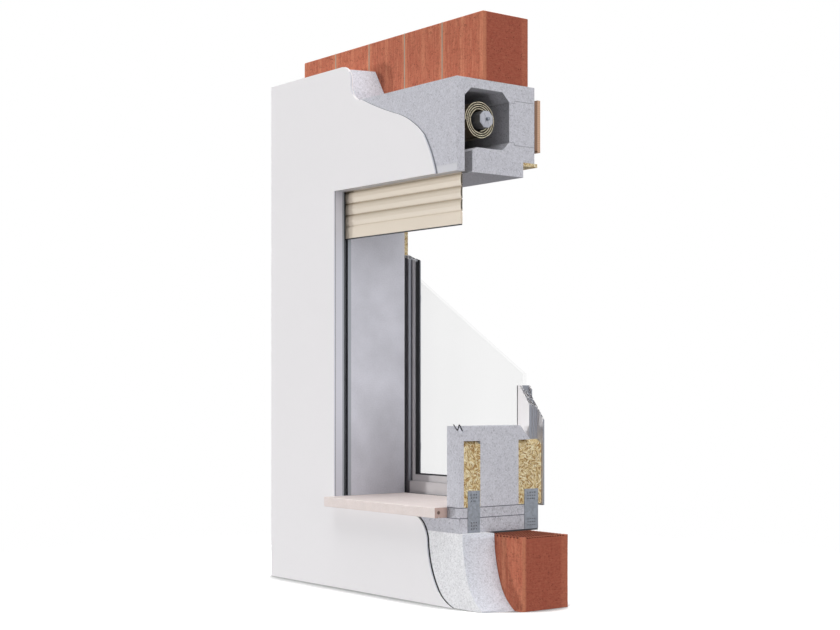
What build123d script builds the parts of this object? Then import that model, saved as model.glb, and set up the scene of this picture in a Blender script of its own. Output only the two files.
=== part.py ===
"""Cutaway sample of a monoblock roller shutter with its wall, sill and window.

Millimetres, +Z up, facade facing -Y. The origin is the bottom centre of the whole sample.
"""
from build123d import *
import math
import os

os.makedirs("parts", exist_ok=True)

# Wall sample, along X
facade_to_opening = 465.0
clear_width = 705.5
parapet_past_opening = 272.5
masonry_inset = 54.0
jamb_thickness = 71.0
box_past_opening = 57.0

# Wall sample, along Y
sill_overhang = 47.0
finish_thickness = 5.0
base_coat_thickness = 3.0
insulation_thickness = 119.0
brick_depth = 213.0
jamb_depth = 333.0
box_depth = 363.0
subsill_depth = 367.0

# Wall sample, along Z
parapet_height = 258.0
membrane_thickness = 6.0
subsill_height = 53.0
sill_thickness = 37.0
clear_height = 1191.0
box_height = 334.0
lintel_height = 249.0
facade_above_box = 141.0
insulation_top_drop = 8.0

# Masonry units
brick_pitch = 234.0
joint_thickness = 4.0
course_pitch = 250.0
bed_joint_thickness = 8.0
side_wall_gap = 5.0
cell_across = 6.5
cell_along = 10.0
cell_pitch_across = 12.0
cell_pitch_along = 18.0
cell_depth = 40.0
cell_margin = 12.0
cell_groove_depth = 5.0

# Torn edges of the facade layers, each shape as shares of its own width and height
base_coat_lap = 4.0
insulation_cut_skew = 32.0
foot_tear_start = 37.5
foot_tear_width = 218.0
foot_tear = [(0, 0), (0.206, 0.06), (0.367, 0.151), (0.569, 0.397), (0.67, 0.71), (0.771, 0.893), (1, 1)]
head_tear_start = 58.5
head_tear_width = 590.0
head_tear = [(0, 0), (0.037, 0.128), (0.12, 0.312), (0.288, 0.461), (0.439, 0.533), (0.637, 0.619),
             (0.785, 0.695), (0.869, 0.737), (0.907, 0.834), (0.92, 0.939), (1, 1)]
parapet_insulation_overrun = 88.5
parapet_tear_width = 112.0
parapet_tear = [(0, 0), (0.11, 0.4), (0.375, 0.73), (0.67, 0.89), (1, 1)]
lintel_insulation_width = 214.0
lintel_tear_width = 76.0
lintel_tear = [(0, 0), (0.22, 0.29), (1, 1)]

# Shutter box section
box_front_wall = 35.0
slot_width = 35.0
box_top_wall = 34.0
chamber_depth = 207.0
chamber_chamfer = 33.0
front_chamfer = 30.0
floor_height = 90.0
floor_chamfer = 31.0
slot_chamfer = 21.0
slot_chamfer_rise = 13.0
rebate_width = 54.0
rebate_height = 55.0
opening_rise = 122.0
opening_height = 144.0
plug_inner_depth = 25.0
plug_step = 9.0
plug_clearance = 0.8
box_end_wall = 30.0
end_plate_thickness = 12.0
edge_profile_height = 27.0
edge_profile_wall = 2.0

# Inspection cover and head batten
cover_lap = 15.0
cover_frame_thickness = 14.0
cover_board_thickness = 14.0
cover_clearance = 0.3
cover_frame_inset = 6.0
head_batten_depth = 68.0
head_batten_height = 13.0

# Roller
roller_from_front_wall = 101.0
roller_below_box_top = 139.0
tube_across_flats = 60.0
tube_wall = 1.0
tube_end_gap = 16.0
cap_length = 12.0
cap_flange_diameter = 54.0
cap_flange_thickness = 2.0
cap_rib_count = 6
pin_diameter = 12.0
pin_shank_diameter = 14.0
pin_reach = 14.0
pin_embed = 24.0
pin_chamfer = 1.0
fit_clearance = 0.1

# Tubular motor
motor_diameter = 45.0
motor_length = 520.0
motor_head_diameter = 50.0
motor_head_length = 12.0
bracket_size = 60.0
bracket_corner = 6.0
bracket_thickness = 4.0
bracket_hole_pitch = 46.0
crown_width = 22.0
crown_offset = 14.0
drive_wheel_width = 24.0
drive_shaft_diameter = 14.0
drive_shaft_length = 20.0
running_clearance = 0.3

# Slats
slat_pitch = 45.0
slat_gap = 4.5
slat_end_thickness = 5.5
slat_front_bulge = 3.2
slat_rear_hollow = 0.8
tongue_neck = 1.2
tongue_head = 3.0
tongue_head_height = 1.6
tongue_clearance = 0.25
interlock_play = 4.0
lip_height = 1.4
guide_engagement = 19.0
curtain_behind_front_wall = 16.5
box_slat_count = 4
visible_slat_count = 3
wound_slat_count = 27
roll_pitch = 7.4
roll_outer_radius = 67.0
roll_start_angle = -4.0
wound_slat_thickness = 4.2
wound_slat_bulge = 4.0
wound_slat_gap = 4.4
wound_hook_thickness = 1.6
wound_hook_reach = 1.5
pitch_search_steps = 20
ring_width = 26.0
ring_count = 3
ring_clearance = 0.3
bottom_bar_height = 43.0
bottom_bar_thickness = 8.0
bottom_bar_round = 1.0
seal_height = 4.0
seal_thickness = 5.0

# Guides
guide_depth = 41.0
guide_width = 25.0
guide_wall = 2.0
guide_slot = 12.0
brush_reach = 8.0
brush_slat_gap = 0.3

# Jambs
skin_thickness = 4.0
render_return = 8.0
batten_thickness = 25.0
front_batten_setback = 20.0
front_batten_depth = 75.0
rear_batten_setback = 274.0
rear_batten_depth = 110.0
stub_height = 288.0
stub_slope_start = 50.0
stub_slope_drop = 55.0
batten_stub_height = 221.5
batten_top_slope = 14.0
stub_notch_depth = 18.0
stub_notch_width = 30.0
stub_notch_drop = 24.0

# Anchor straps
strap_thickness = 2.0
front_strap_width = 55.0
front_strap_setback = 37.0
front_strap_height = 149.0
rear_strap_width = 66.0
rear_strap_setback = 301.0
rear_strap_height = 146.0
strap_hole = 5.0
strap_hole_rows = 3
strap_hole_pitch = 11.0
strap_edge = 14.0
screw_head_diameter = 8.0
screw_head_height = 2.4
screw_diameter = 4.0
screw_length = 18.0

# Sill
drip_groove_width = 6.0
drip_groove_depth = 5.0
drip_groove_setback = 15.0
sill_arris = 1.5

# Window
tape_thickness = 14.0
tape_width = 30.0
tape_inset = 10.0
tape_foot_drop = 27.0
frame_depth = 45.0
frame_face = 54.7
frame_nose = 13.0
frame_rebate = 7.0
frame_wall = 2.5
frame_web = 24.0
frame_groove_depth = 3.5
frame_groove_width = 7.0
frame_bottom_rise = 30.0
frame_fin_reach = 33.0
frame_fin_drop = 14.0
frame_fin_thickness = 7.0
sash_setback = 14.5
sash_gap = 0.4
sash_face = 26.0
sash_wall = 2.2
sash_overlap = 13.0
sash_flange = 6.0
flange_clearance = 0.3
glass_setback = 7.0
pane_thickness = 5.0
pane_gap = 14.0
glass_lap = 14.0
glass_edge_room = 3.0
bead_setback = 12.0
spacer_width = 9.0
spacer_inset = 1.5
gasket_width = 6.0
gasket_depth = 6.0
left_stile_cut = 965.0
left_stile_slope = 0.38
right_stile_cut = 433.0
right_stile_slope = 1.254
right_stile_lean = 0.375
glass_cut = 871.0
glass_cut_slope = 0.5955

# Sash hinges
hinge_axis_outset = 7.0
hinge_axis_proud = 7.5
barrel_radius = 6.0
hinge_pin_diameter = 7.0
knuckle_height = 30.0
knuckle_gap = 0.4
hinge_leaf_thickness = 3.5
hinge_leaf_width = 24.0
hinge_rise_low = 140.0
hinge_rise_high = 740.0

# Places along X
overall_length = facade_to_opening + clear_width + parapet_past_opening
facade_left = -overall_length / 2
opening_left = facade_left + facade_to_opening
opening_right = opening_left + clear_width
parapet_right = opening_right + parapet_past_opening
masonry_left = facade_left + masonry_inset
jamb_left = opening_left - jamb_thickness
jamb_right = opening_right + jamb_thickness
box_right = opening_right + box_past_opening

# Places along Y
render_thickness = finish_thickness + base_coat_thickness
frame_rear_reach = render_thickness + jamb_depth + tape_thickness + frame_depth
hinge_reach = frame_rear_reach + hinge_axis_proud + barrel_radius
render_front = -(hinge_reach - sill_overhang) / 2
insulation_front = render_front + render_thickness
brick_front = insulation_front + insulation_thickness
brick_rear = brick_front + brick_depth
jamb_rear = insulation_front + jamb_depth
box_rear = insulation_front + box_depth
subsill_rear = insulation_front + subsill_depth
sill_nose = render_front - sill_overhang
frame_front = jamb_rear + tape_thickness
frame_rear = frame_front + frame_depth

# Places along Z
subsill_bottom = parapet_height + membrane_thickness
subsill_top = subsill_bottom + subsill_height
sill_top = subsill_top + sill_thickness
box_bottom = sill_top + clear_height
box_top = box_bottom + box_height
overall_height = box_top + lintel_height
facade_top = box_top + facade_above_box


def block(x, y, z, mode=Mode.ADD):
    """Add a square-edged block between three (low, high) pairs."""
    centre = ((x[0] + x[1]) / 2, (y[0] + y[1]) / 2, (z[0] + z[1]) / 2)
    with Locations(centre):
        Box(abs(x[1] - x[0]), abs(y[1] - y[0]), abs(z[1] - z[0]), mode=mode)


def prism(plane, points, amount, mode=Mode.ADD, direction=None):
    """Extrude a straight-edged outline drawn on a plane."""
    with BuildSketch(plane, mode=Mode.PRIVATE) as outline:
        with BuildLine():
            Polyline(*points, close=True)
        make_face()
    extrude(outline.sketch, amount=amount, dir=direction, mode=mode)


def finish(builder, name):
    """Label one finished piece and write it out."""
    builder.part.label = name
    export_step(builder.part, f"parts/{name}.step")


def finish_group(builders, name):
    """Label several touching pieces as one node, each still its own solid, and write it out."""
    solids = [solid for builder in builders for solid in builder.part.solids()]
    group = Compound(label=name, children=solids)
    export_step(group, f"parts/{name}.step")


# Bricks of the lintel over the box
brick_count = math.ceil((box_right - masonry_left - joint_thickness) / brick_pitch)
with BuildPart() as lintel_bricks:
    for number in range(brick_count):
        left = masonry_left + number * brick_pitch
        right = left + brick_pitch - joint_thickness
        if number == brick_count - 1:
            right = box_right
        block((left, right), (brick_front, brick_rear), (box_top, overall_height))
finish(lintel_bricks, "lintel_bricks")

# Bricks of the parapet, the last one with its open cells
parapet_count = math.ceil((parapet_right - masonry_left - joint_thickness) / brick_pitch)
last_brick_left = masonry_left + (parapet_count - 1) * brick_pitch
cells_along = int((parapet_right - last_brick_left - 2 * cell_margin) / cell_pitch_along)
cells_across = int((brick_depth - 2 * cell_margin) / cell_pitch_across)
with BuildPart() as parapet_bricks:
    for number in range(parapet_count):
        left = masonry_left + number * brick_pitch
        right = left + brick_pitch - joint_thickness
        if number == parapet_count - 1:
            right = parapet_right
        block((left, right), (brick_front, brick_rear), (0, parapet_height))
    cell_plane = Plane(origin=((last_brick_left + parapet_right) / 2,
                               (brick_front + brick_rear) / 2, parapet_height))
    with BuildSketch(cell_plane):
        with GridLocations(cell_pitch_along, cell_pitch_across, cells_along, cells_across):
            Rectangle(cell_along, cell_across)
    extrude(amount=-cell_depth, mode=Mode.SUBTRACT)
    # Shallow grooves join the cells in rows both ways, so that the top's edges are toothed
    with BuildSketch(cell_plane):
        with GridLocations(cell_pitch_along, 0, cells_along, 1):
            Rectangle(cell_along, brick_depth)
        with GridLocations(0, cell_pitch_across, 1, cells_across):
            Rectangle(parapet_right - last_brick_left, cell_across)
    extrude(amount=-cell_groove_depth, mode=Mode.SUBTRACT)
finish(parapet_bricks, "parapet_bricks")

# Bricks of the side wall, laid in courses beside the jamb
side_wall_right = jamb_left - side_wall_gap
side_wall_foot = parapet_height + bed_joint_thickness
course_count = math.ceil((box_top - side_wall_foot) / course_pitch)
side_wall_middle = masonry_left + brick_pitch
with BuildPart() as side_wall_bricks:
    for course in range(course_count):
        foot = side_wall_foot + course * course_pitch
        head = min(foot + course_pitch, box_top) - bed_joint_thickness
        block((masonry_left, side_wall_middle - joint_thickness), (brick_front, brick_rear), (foot, head))
        block((side_wall_middle, side_wall_right), (brick_front, brick_rear), (foot, head))
finish(side_wall_bricks, "side_wall_bricks")

# Mortar in all joints of the masonry
with BuildPart() as mortar_joints:
    for number in range(1, brick_count):
        joint_right = masonry_left + number * brick_pitch
        block((joint_right - joint_thickness, joint_right), (brick_front, brick_rear),
              (box_top, overall_height))
    for number in range(1, parapet_count):
        joint_right = masonry_left + number * brick_pitch
        block((joint_right - joint_thickness, joint_right), (brick_front, brick_rear),
              (0, parapet_height))
    for course in range(course_count + 1):
        bed_top = min(side_wall_foot + course * course_pitch, box_top)
        block((masonry_left, side_wall_right), (brick_front, brick_rear),
              (bed_top - bed_joint_thickness, bed_top))
    for course in range(course_count):
        foot = side_wall_foot + course * course_pitch
        head = min(foot + course_pitch, box_top) - bed_joint_thickness
        block((side_wall_middle - joint_thickness, side_wall_middle), (brick_front, brick_rear),
              (foot, head))
finish(mortar_joints, "mortar_joints")

# Insulation boards on the facade
insulation_y = (insulation_front, brick_front)
insulation_top = facade_top - insulation_top_drop
cut_direction = (insulation_cut_skew, insulation_thickness, 0)
cut_length = math.hypot(insulation_cut_skew, insulation_thickness)
insulation_plane = Plane(origin=(0, insulation_front, 0), x_dir=(1, 0, 0), z_dir=(0, -1, 0))

with BuildPart() as side_insulation:
    block((facade_left, side_wall_right), insulation_y, (subsill_bottom, insulation_top))
finish(side_insulation, "side_insulation")


def tear_points(shares, start, end):
    """Places of a torn edge's points between its start and its end."""
    return [(start[0] + across * (end[0] - start[0]), start[1] + along * (end[1] - start[1]))
            for across, along in shares]


def torn_edge(points):
    """Draw a torn edge as arcs, each through three of its points."""
    for index in range(0, len(points) - 2, 2):
        ThreePointArc(*points[index:index + 3])


# The board over the box is torn off along a slope
board_right = jamb_left + lintel_insulation_width
board_tear = tear_points(lintel_tear, (board_right, box_top),
                         (board_right - lintel_tear_width, insulation_top))
with BuildPart() as lintel_insulation:
    prism(insulation_plane, [(facade_left, box_top), *board_tear, (facade_left, insulation_top)],
          cut_length, direction=cut_direction)
    split(bisect_by=Plane.YZ.offset(side_wall_right), keep=Keep.TOP)
finish(lintel_insulation, "lintel_insulation")

# The parapet board is torn off along a hollow curve that ends at the floor
parapet_board_right = opening_right + parapet_insulation_overrun
parapet_board_left = facade_left - insulation_cut_skew
parapet_board_tear = tear_points(parapet_tear, (parapet_board_right, subsill_bottom),
                                 (parapet_board_right + parapet_tear_width, 0))
with BuildPart() as parapet_insulation:
    with BuildSketch(insulation_plane, mode=Mode.PRIVATE) as parapet_board:
        with BuildLine():
            torn_edge(parapet_board_tear)
            Polyline(parapet_board_tear[-1], (parapet_board_left, 0),
                     (parapet_board_left, subsill_bottom), parapet_board_tear[0])
        make_face()
    extrude(parapet_board.sketch, amount=cut_length, dir=cut_direction)
    split(bisect_by=Plane.YZ.offset(facade_left), keep=Keep.TOP)
finish(parapet_insulation, "parapet_insulation")


def coat_outline(lap):
    """Draw the render's outline with its torn edges moved by a lap."""
    foot_start = opening_right + foot_tear_start + lap
    head_start = opening_right - head_tear_start + lap
    foot = tear_points(foot_tear, (foot_start, 0), (foot_start - foot_tear_width, subsill_top))
    head = tear_points(head_tear, (head_start, box_bottom), (head_start - head_tear_width, facade_top))
    torn_edge(foot)
    Polyline(foot[-1], (opening_left, subsill_top), (opening_left, box_bottom), head[0])
    torn_edge(head)
    Polyline(head[-1], (facade_left, facade_top), (facade_left, 0), foot[0])


# Base coat with its mesh, showing as a thin edge past the finish
with BuildPart() as base_coat:
    with BuildSketch(Plane.XZ.offset(-insulation_front), mode=Mode.PRIVATE) as base_face:
        with BuildLine():
            coat_outline(base_coat_lap)
        make_face()
    extrude(base_face.sketch, amount=base_coat_thickness)
finish(base_coat, "base_coat")

# Finish coat, turned into the reveal as far as the guide
guide_front = insulation_front + box_front_wall + curtain_behind_front_wall - guide_depth / 2
return_x = (opening_left - render_return, opening_left)
with BuildPart() as finish_coat:
    with BuildSketch(Plane.XZ.offset(-(insulation_front - base_coat_thickness)),
                     mode=Mode.PRIVATE) as finish_face:
        with BuildLine():
            coat_outline(0)
        make_face()
    extrude(finish_face.sketch, amount=finish_thickness)
    block(return_x, (insulation_front, guide_front), (sill_top, box_bottom))
finish(finish_coat, "finish_coat")

# Stone sill with its drip groove
with BuildPart() as stone_sill:
    block((opening_left, opening_right), (sill_nose, jamb_rear), (subsill_top, sill_top))
    chamfer(stone_sill.edges().filter_by(Axis.X).group_by(Axis.Y)[0], sill_arris)
    groove_front = sill_nose + drip_groove_setback
    block((opening_left, opening_right), (groove_front, groove_front + drip_groove_width),
          (subsill_top, subsill_top + drip_groove_depth), mode=Mode.SUBTRACT)
finish(stone_sill, "stone_sill")

# Insulated layer under the sill with its end blocks, on a membrane
with BuildPart() as sill_membrane:
    block((jamb_left, jamb_right), (brick_front, subsill_rear), (parapet_height, subsill_bottom))
finish(sill_membrane, "sill_membrane")

with BuildPart() as subsill_panel:
    block((jamb_left, jamb_right), (insulation_front, subsill_rear), (subsill_bottom, subsill_top))

with BuildPart() as sill_end_blocks:
    for span in ((jamb_left, opening_left), (opening_right, jamb_right)):
        block(span, (insulation_front, jamb_rear), (subsill_top, sill_top))

finish_group([subsill_panel, sill_end_blocks], "subsill_blocks")

# Shutter box section, as distances from its front face and its top
slot_front = insulation_front + box_front_wall
slot_rear = slot_front + slot_width
chamber_rear = slot_front + chamber_depth
chamber_top = box_top - box_top_wall
floor_top = box_bottom + floor_height
opening_foot = box_bottom + opening_rise
opening_head = opening_foot + opening_height
rebate_front = box_rear - rebate_width
rebate_ceiling = box_bottom + rebate_height
plug_shoulder = chamber_rear + plug_inner_depth
cavity_left = jamb_left + box_end_wall
cavity_length = box_right - cavity_left

with BuildPart() as shutter_box_shell:
    block((jamb_left, box_right), (insulation_front, box_rear), (box_bottom, box_top))
    block((jamb_left, box_right), (rebate_front, box_rear), (box_bottom, rebate_ceiling),
          mode=Mode.SUBTRACT)
    prism(Plane.YZ.offset(cavity_left),
          [(slot_front, box_bottom), (slot_rear, box_bottom), (slot_rear, floor_top - slot_chamfer_rise),
           (slot_rear + slot_chamfer, floor_top), (chamber_rear - floor_chamfer, floor_top),
           (chamber_rear, opening_foot), (chamber_rear, chamber_top - chamber_chamfer),
           (chamber_rear - chamber_chamfer, chamber_top), (slot_front + front_chamfer, chamber_top),
           (slot_front, chamber_top - front_chamfer)],
          cavity_length, mode=Mode.SUBTRACT)
    block((cavity_left, box_right), (chamber_rear, plug_shoulder), (opening_foot, opening_head),
          mode=Mode.SUBTRACT)
    block((cavity_left, box_right), (plug_shoulder, box_rear),
          (opening_foot - plug_step, opening_head + plug_step), mode=Mode.SUBTRACT)
    block((jamb_left, box_right), (insulation_front, insulation_front + edge_profile_wall),
          (box_bottom, box_bottom + edge_profile_height), mode=Mode.SUBTRACT)
    block((jamb_left, box_right), (insulation_front, slot_front),
          (box_bottom, box_bottom + edge_profile_wall), mode=Mode.SUBTRACT)
finish(shutter_box_shell, "shutter_box_shell")

# Plaster edge profile along the front wall's foot
with BuildPart() as front_edge_profile:
    prism(Plane.YZ.offset(jamb_left),
          [(insulation_front, box_bottom), (slot_front, box_bottom),
           (slot_front, box_bottom + edge_profile_wall),
           (insulation_front + edge_profile_wall, box_bottom + edge_profile_wall),
           (insulation_front + edge_profile_wall, box_bottom + edge_profile_height),
           (insulation_front, box_bottom + edge_profile_height)],
          box_right - jamb_left)
finish(front_edge_profile, "front_edge_profile")

# Stepped inspection plug in the rear wall
with BuildPart() as inspection_plug:
    plug_left = cavity_left + plug_clearance
    block((plug_left, box_right), (chamber_rear, plug_shoulder + plug_clearance),
          (opening_foot + plug_clearance, opening_head - plug_clearance))
    block((plug_left, box_right), (plug_shoulder + plug_clearance, box_rear),
          (opening_foot - plug_step + plug_clearance, opening_head + plug_step - plug_clearance))
finish(inspection_plug, "inspection_plug")

# Wooden inspection cover: a frame board and a facing board
cover_foot = opening_foot - plug_step - cover_lap
cover_head = opening_head + plug_step + cover_lap
cover_inner = box_rear + cover_clearance
cover_middle = cover_inner + cover_frame_thickness
with BuildPart() as cover_frame:
    block((cavity_left - cover_lap + cover_frame_inset, box_right), (cover_inner, cover_middle),
          (cover_foot + cover_frame_inset, cover_head - cover_frame_inset))
finish(cover_frame, "cover_frame")

with BuildPart() as cover_board:
    block((cavity_left - cover_lap, box_right), (cover_middle, cover_middle + cover_board_thickness),
          (cover_foot, cover_head))
finish(cover_board, "cover_board")

# Batten under the rear rebate, which takes the window's head
with BuildPart() as head_batten:
    block((jamb_left, box_right), (rebate_front, rebate_front + head_batten_depth),
          (rebate_ceiling - head_batten_height, rebate_ceiling))
finish(head_batten, "head_batten")

# Roller axis
axis_y = slot_front + roller_from_front_wall
axis_z = box_top - roller_below_box_top
bore_across_flats = tube_across_flats - 2 * tube_wall
plate_right = cavity_left + end_plate_thickness
bracket_right = plate_right + bracket_thickness
head_right = bracket_right + motor_head_length
tube_left = plate_right + tube_end_gap
tube_right = box_right - cap_flange_thickness


def roller_plane(x):
    """A plane across the roller, its own Y axis pointing up."""
    return Plane(origin=(x, axis_y, axis_z), x_dir=(0, 1, 0), z_dir=(1, 0, 0))


def octagon(across_flats, mode=Mode.ADD):
    """Add an octagon with two sides level."""
    RegularPolygon(across_flats / 2, 8, major_radius=False, rotation=22.5, mode=mode)


def screw_corners(pitch):
    """Places of four screws round the roller axis."""
    return GridLocations(pitch, pitch, 2, 2)


# End plate in the chamber, which carries the motor bracket
with BuildPart() as box_end_plate:
    prism(Plane.YZ.offset(cavity_left),
          [(slot_rear + slot_chamfer, floor_top), (chamber_rear - floor_chamfer, floor_top),
           (chamber_rear, opening_foot), (chamber_rear, chamber_top - chamber_chamfer),
           (chamber_rear - chamber_chamfer, chamber_top), (slot_front + front_chamfer, chamber_top),
           (slot_front, chamber_top - front_chamfer), (slot_front, floor_top)],
          end_plate_thickness)
    with BuildSketch(roller_plane(plate_right)):
        with screw_corners(bracket_hole_pitch):
            Circle(screw_diameter / 2)
    extrude(amount=-end_plate_thickness, mode=Mode.SUBTRACT)
finish(box_end_plate, "box_end_plate")

with BuildPart() as motor_bracket:
    with BuildSketch(roller_plane(plate_right)):
        RectangleRounded(bracket_size, bracket_size, bracket_corner)
        with screw_corners(bracket_hole_pitch):
            Circle(screw_diameter / 2, mode=Mode.SUBTRACT)
    extrude(amount=bracket_thickness)
finish(motor_bracket, "motor_bracket")

with BuildPart() as bracket_screws:
    with BuildSketch(roller_plane(cavity_left)):
        with screw_corners(bracket_hole_pitch):
            Circle(screw_diameter / 2)
    extrude(amount=end_plate_thickness + bracket_thickness)
    with BuildSketch(roller_plane(bracket_right)):
        with screw_corners(bracket_hole_pitch):
            Circle(screw_head_diameter / 2)
    extrude(amount=screw_head_height)
finish(bracket_screws, "bracket_screws")

# Tubular motor: head on the bracket, body inside the tube
motor_right = head_right + motor_length
crown_left = tube_left + crown_offset
with BuildPart() as motor_head:
    with BuildSketch(roller_plane(bracket_right)):
        Circle(motor_head_diameter / 2)
    extrude(amount=motor_head_length)
finish(motor_head, "motor_head")

with BuildPart() as motor_body:
    with BuildSketch(roller_plane(head_right)):
        Circle(motor_diameter / 2)
    extrude(amount=motor_length)
    with BuildSketch(roller_plane(motor_right)):
        Circle(drive_shaft_diameter / 2 + running_clearance)
    extrude(amount=-(drive_shaft_length + running_clearance), mode=Mode.SUBTRACT)
finish(motor_body, "motor_body")

with BuildPart() as motor_crown:
    with BuildSketch(roller_plane(crown_left)):
        octagon(bore_across_flats)
        Circle(motor_diameter / 2 + fit_clearance, mode=Mode.SUBTRACT)
    extrude(amount=crown_width)
finish(motor_crown, "motor_crown")

with BuildPart() as drive_wheel:
    with BuildSketch(roller_plane(motor_right + running_clearance)):
        octagon(bore_across_flats)
    extrude(amount=drive_wheel_width)
    with BuildSketch(roller_plane(motor_right - drive_shaft_length)):
        Circle(drive_shaft_diameter / 2)
    extrude(amount=drive_shaft_length + running_clearance)
finish(drive_wheel, "drive_wheel")

# Octagonal roller tube, and the cap with its pin at the cut end
with BuildPart() as roller_tube:
    with BuildSketch(roller_plane(tube_left)):
        octagon(tube_across_flats)
        octagon(bore_across_flats, mode=Mode.SUBTRACT)
    extrude(amount=tube_right - tube_left)
finish(roller_tube, "roller_tube")

with BuildPart() as tube_end_cap:
    with BuildSketch(roller_plane(tube_right - cap_length)):
        octagon(bore_across_flats)
        Circle(pin_shank_diameter / 2, mode=Mode.SUBTRACT)
    extrude(amount=cap_length)
    with BuildSketch(roller_plane(tube_right)):
        Circle(cap_flange_diameter / 2)
        Circle(pin_shank_diameter / 2, mode=Mode.SUBTRACT)
    extrude(amount=cap_flange_thickness)
    with BuildSketch(roller_plane(box_right)):
        with PolarLocations(cap_flange_diameter / 4 + pin_shank_diameter / 4, cap_rib_count):
            Rectangle(cap_flange_diameter / 4, cap_flange_thickness)
        Circle(pin_shank_diameter / 2 + cap_flange_thickness)
        Circle(pin_shank_diameter / 2, mode=Mode.SUBTRACT)
    extrude(amount=cap_flange_thickness)
finish(tube_end_cap, "tube_end_cap")

# The pin's shank sits in the cap, its turned-down end in a bearing of the missing half
with BuildPart() as roller_pin:
    with BuildSketch(roller_plane(box_right - pin_embed)):
        Circle(pin_shank_diameter / 2)
    extrude(amount=pin_embed + cap_flange_thickness)
    with BuildSketch(roller_plane(box_right)):
        Circle(pin_diameter / 2)
    extrude(amount=pin_reach)
    chamfer(roller_pin.edges().group_by(Axis.X)[-1], pin_chamfer)
finish(roller_pin, "roller_pin")

# Slats share one X span, reaching into both guides
slat_left = opening_left - guide_engagement
slat_length = clear_width + 2 * guide_engagement
curtain_y = slot_front + curtain_behind_front_wall
slat_height = slat_pitch - slat_gap


def curved_slat(height, thickness, bulge, hollow, shift=0.0):
    """Draw a slat's end section: X along its height, Y towards the outside."""
    front = shift + thickness / 2
    rear = shift - thickness / 2
    ThreePointArc((0, front), (height / 2, front + bulge), (height, front))
    Line((height, front), (height, rear))
    ThreePointArc((height, rear), (height / 2, rear + hollow), (0, rear))
    Line((0, rear), (0, front))


# Wound slats follow a spiral from the front of the roll, up and over, inwards
def spiral_point(angle):
    """A point of the spiral, as distances back and up from the roller axis."""
    radius = roll_outer_radius - roll_pitch * angle / (2 * math.pi)
    return (-radius * math.cos(angle), radius * math.sin(angle))


def next_joint(angle):
    """The angle one slat pitch further along the spiral."""
    start = spiral_point(angle)
    step = slat_pitch / roll_outer_radius
    for _ in range(pitch_search_steps):
        step *= slat_pitch / math.dist(start, spiral_point(angle + step))
    return angle + step


joints = [math.radians(roll_start_angle)]
for _ in range(wound_slat_count):
    joints.append(next_joint(joints[-1]))


def wound_face(number, offset, samples=24):
    """Points along one wound slat's face, at an offset from its chord."""
    start = spiral_point(joints[number])
    end = spiral_point(joints[number + 1])
    along = ((end[0] - start[0]) / slat_pitch, (end[1] - start[1]) / slat_pitch)
    outward = (-along[1], along[0])
    points = []
    for index in range(samples + 1):
        share = index / samples
        distance = wound_slat_gap / 2 + share * (slat_pitch - wound_slat_gap)
        rise = offset + wound_slat_bulge * (1 - (2 * share - 1) ** 2)
        points.append((start[0] + along[0] * distance + outward[0] * rise,
                       start[1] + along[1] * distance + outward[1] * rise))
    return points


half_slat = wound_slat_thickness / 2
inner_faces = [wound_face(number, -half_slat) for number in range(wound_slat_count)]
outer_faces = [wound_face(number, half_slat) for number in range(wound_slat_count)]
roll_gap = min(math.dist(a, b)
               for number in range(wound_slat_count)
               for other in range(number + 2, wound_slat_count)
               for a in inner_faces[number]
               for b in outer_faces[other])
roll_bore_radius = min(math.hypot(*point) for face in inner_faces for point in face)
roll_reach = max(math.hypot(*point) for face in outer_faces for point in face)
print(f"wound slats: {joints[-1] / (2 * math.pi):.2f} turns, least gap {roll_gap:.2f} mm,")
print(f"radius {roll_bore_radius:.1f} to {roll_reach:.1f} mm")

wound_slat_height = slat_pitch - wound_slat_gap
wound_hook_length = wound_slat_gap / 2 + wound_hook_reach
with BuildPart() as wound_slats:
    for number in range(wound_slat_count):
        start = spiral_point(joints[number])
        end = spiral_point(joints[number + 1])
        chord = (0, end[0] - start[0], end[1] - start[1])
        inset = wound_slat_gap / 2 / slat_pitch
        chord_plane = Plane(origin=(slat_left, axis_y + start[0] + chord[1] * inset,
                                    axis_z + start[1] + chord[2] * inset),
                            x_dir=chord, z_dir=(1, 0, 0))
        with BuildSketch(chord_plane):
            with BuildLine():
                curved_slat(wound_slat_height, wound_slat_thickness,
                            wound_slat_bulge, wound_slat_bulge)
            make_face()
            with Locations((wound_slat_height + wound_hook_length / 2, 0)):
                Rectangle(wound_hook_length, wound_hook_thickness)
        extrude(amount=slat_length)
finish(wound_slats, "wound_slats")

# Rings on the tube that the innermost slats lie on
ring_radius = roll_bore_radius - ring_clearance
ring_pitch = (slat_length - 2 * ring_width) / ring_count
with BuildPart() as roller_rings:
    for number in range(ring_count):
        ring_left = slat_left + ring_width + (number + 0.5) * ring_pitch - ring_width / 2
        with BuildSketch(roller_plane(ring_left)):
            Circle(ring_radius)
            octagon(tube_across_flats, mode=Mode.SUBTRACT)
        extrude(amount=ring_width)
finish(roller_rings, "roller_rings")

# Hanging slats: a curved body, a channel in its foot and a tongue on its head
channel_width = tongue_head + 2 * tongue_clearance
lip_opening = tongue_neck + 2 * tongue_clearance
channel_depth = lip_height + tongue_head_height + interlock_play + 2 * tongue_clearance
head_start = slat_pitch + lip_height + tongue_clearance - slat_height
slat_shift = -slat_front_bulge / 2


def slat_plane(foot):
    """A plane at the slats' left ends, X up and Y towards the facade."""
    return Plane(origin=(slat_left, curtain_y, foot), x_dir=(0, 0, 1), z_dir=(1, 0, 0))


def tongue(foot, height):
    """Add the hooking tongue over a piece of the given height."""
    rise = foot + height
    centre = curtain_y - slat_shift
    span = (slat_left, slat_left + slat_length)
    block(span, (centre - tongue_neck / 2, centre + tongue_neck / 2), (rise, rise + head_start))
    block(span, (centre - tongue_head / 2, centre + tongue_head / 2),
          (rise + head_start, rise + head_start + tongue_head_height))


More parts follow.
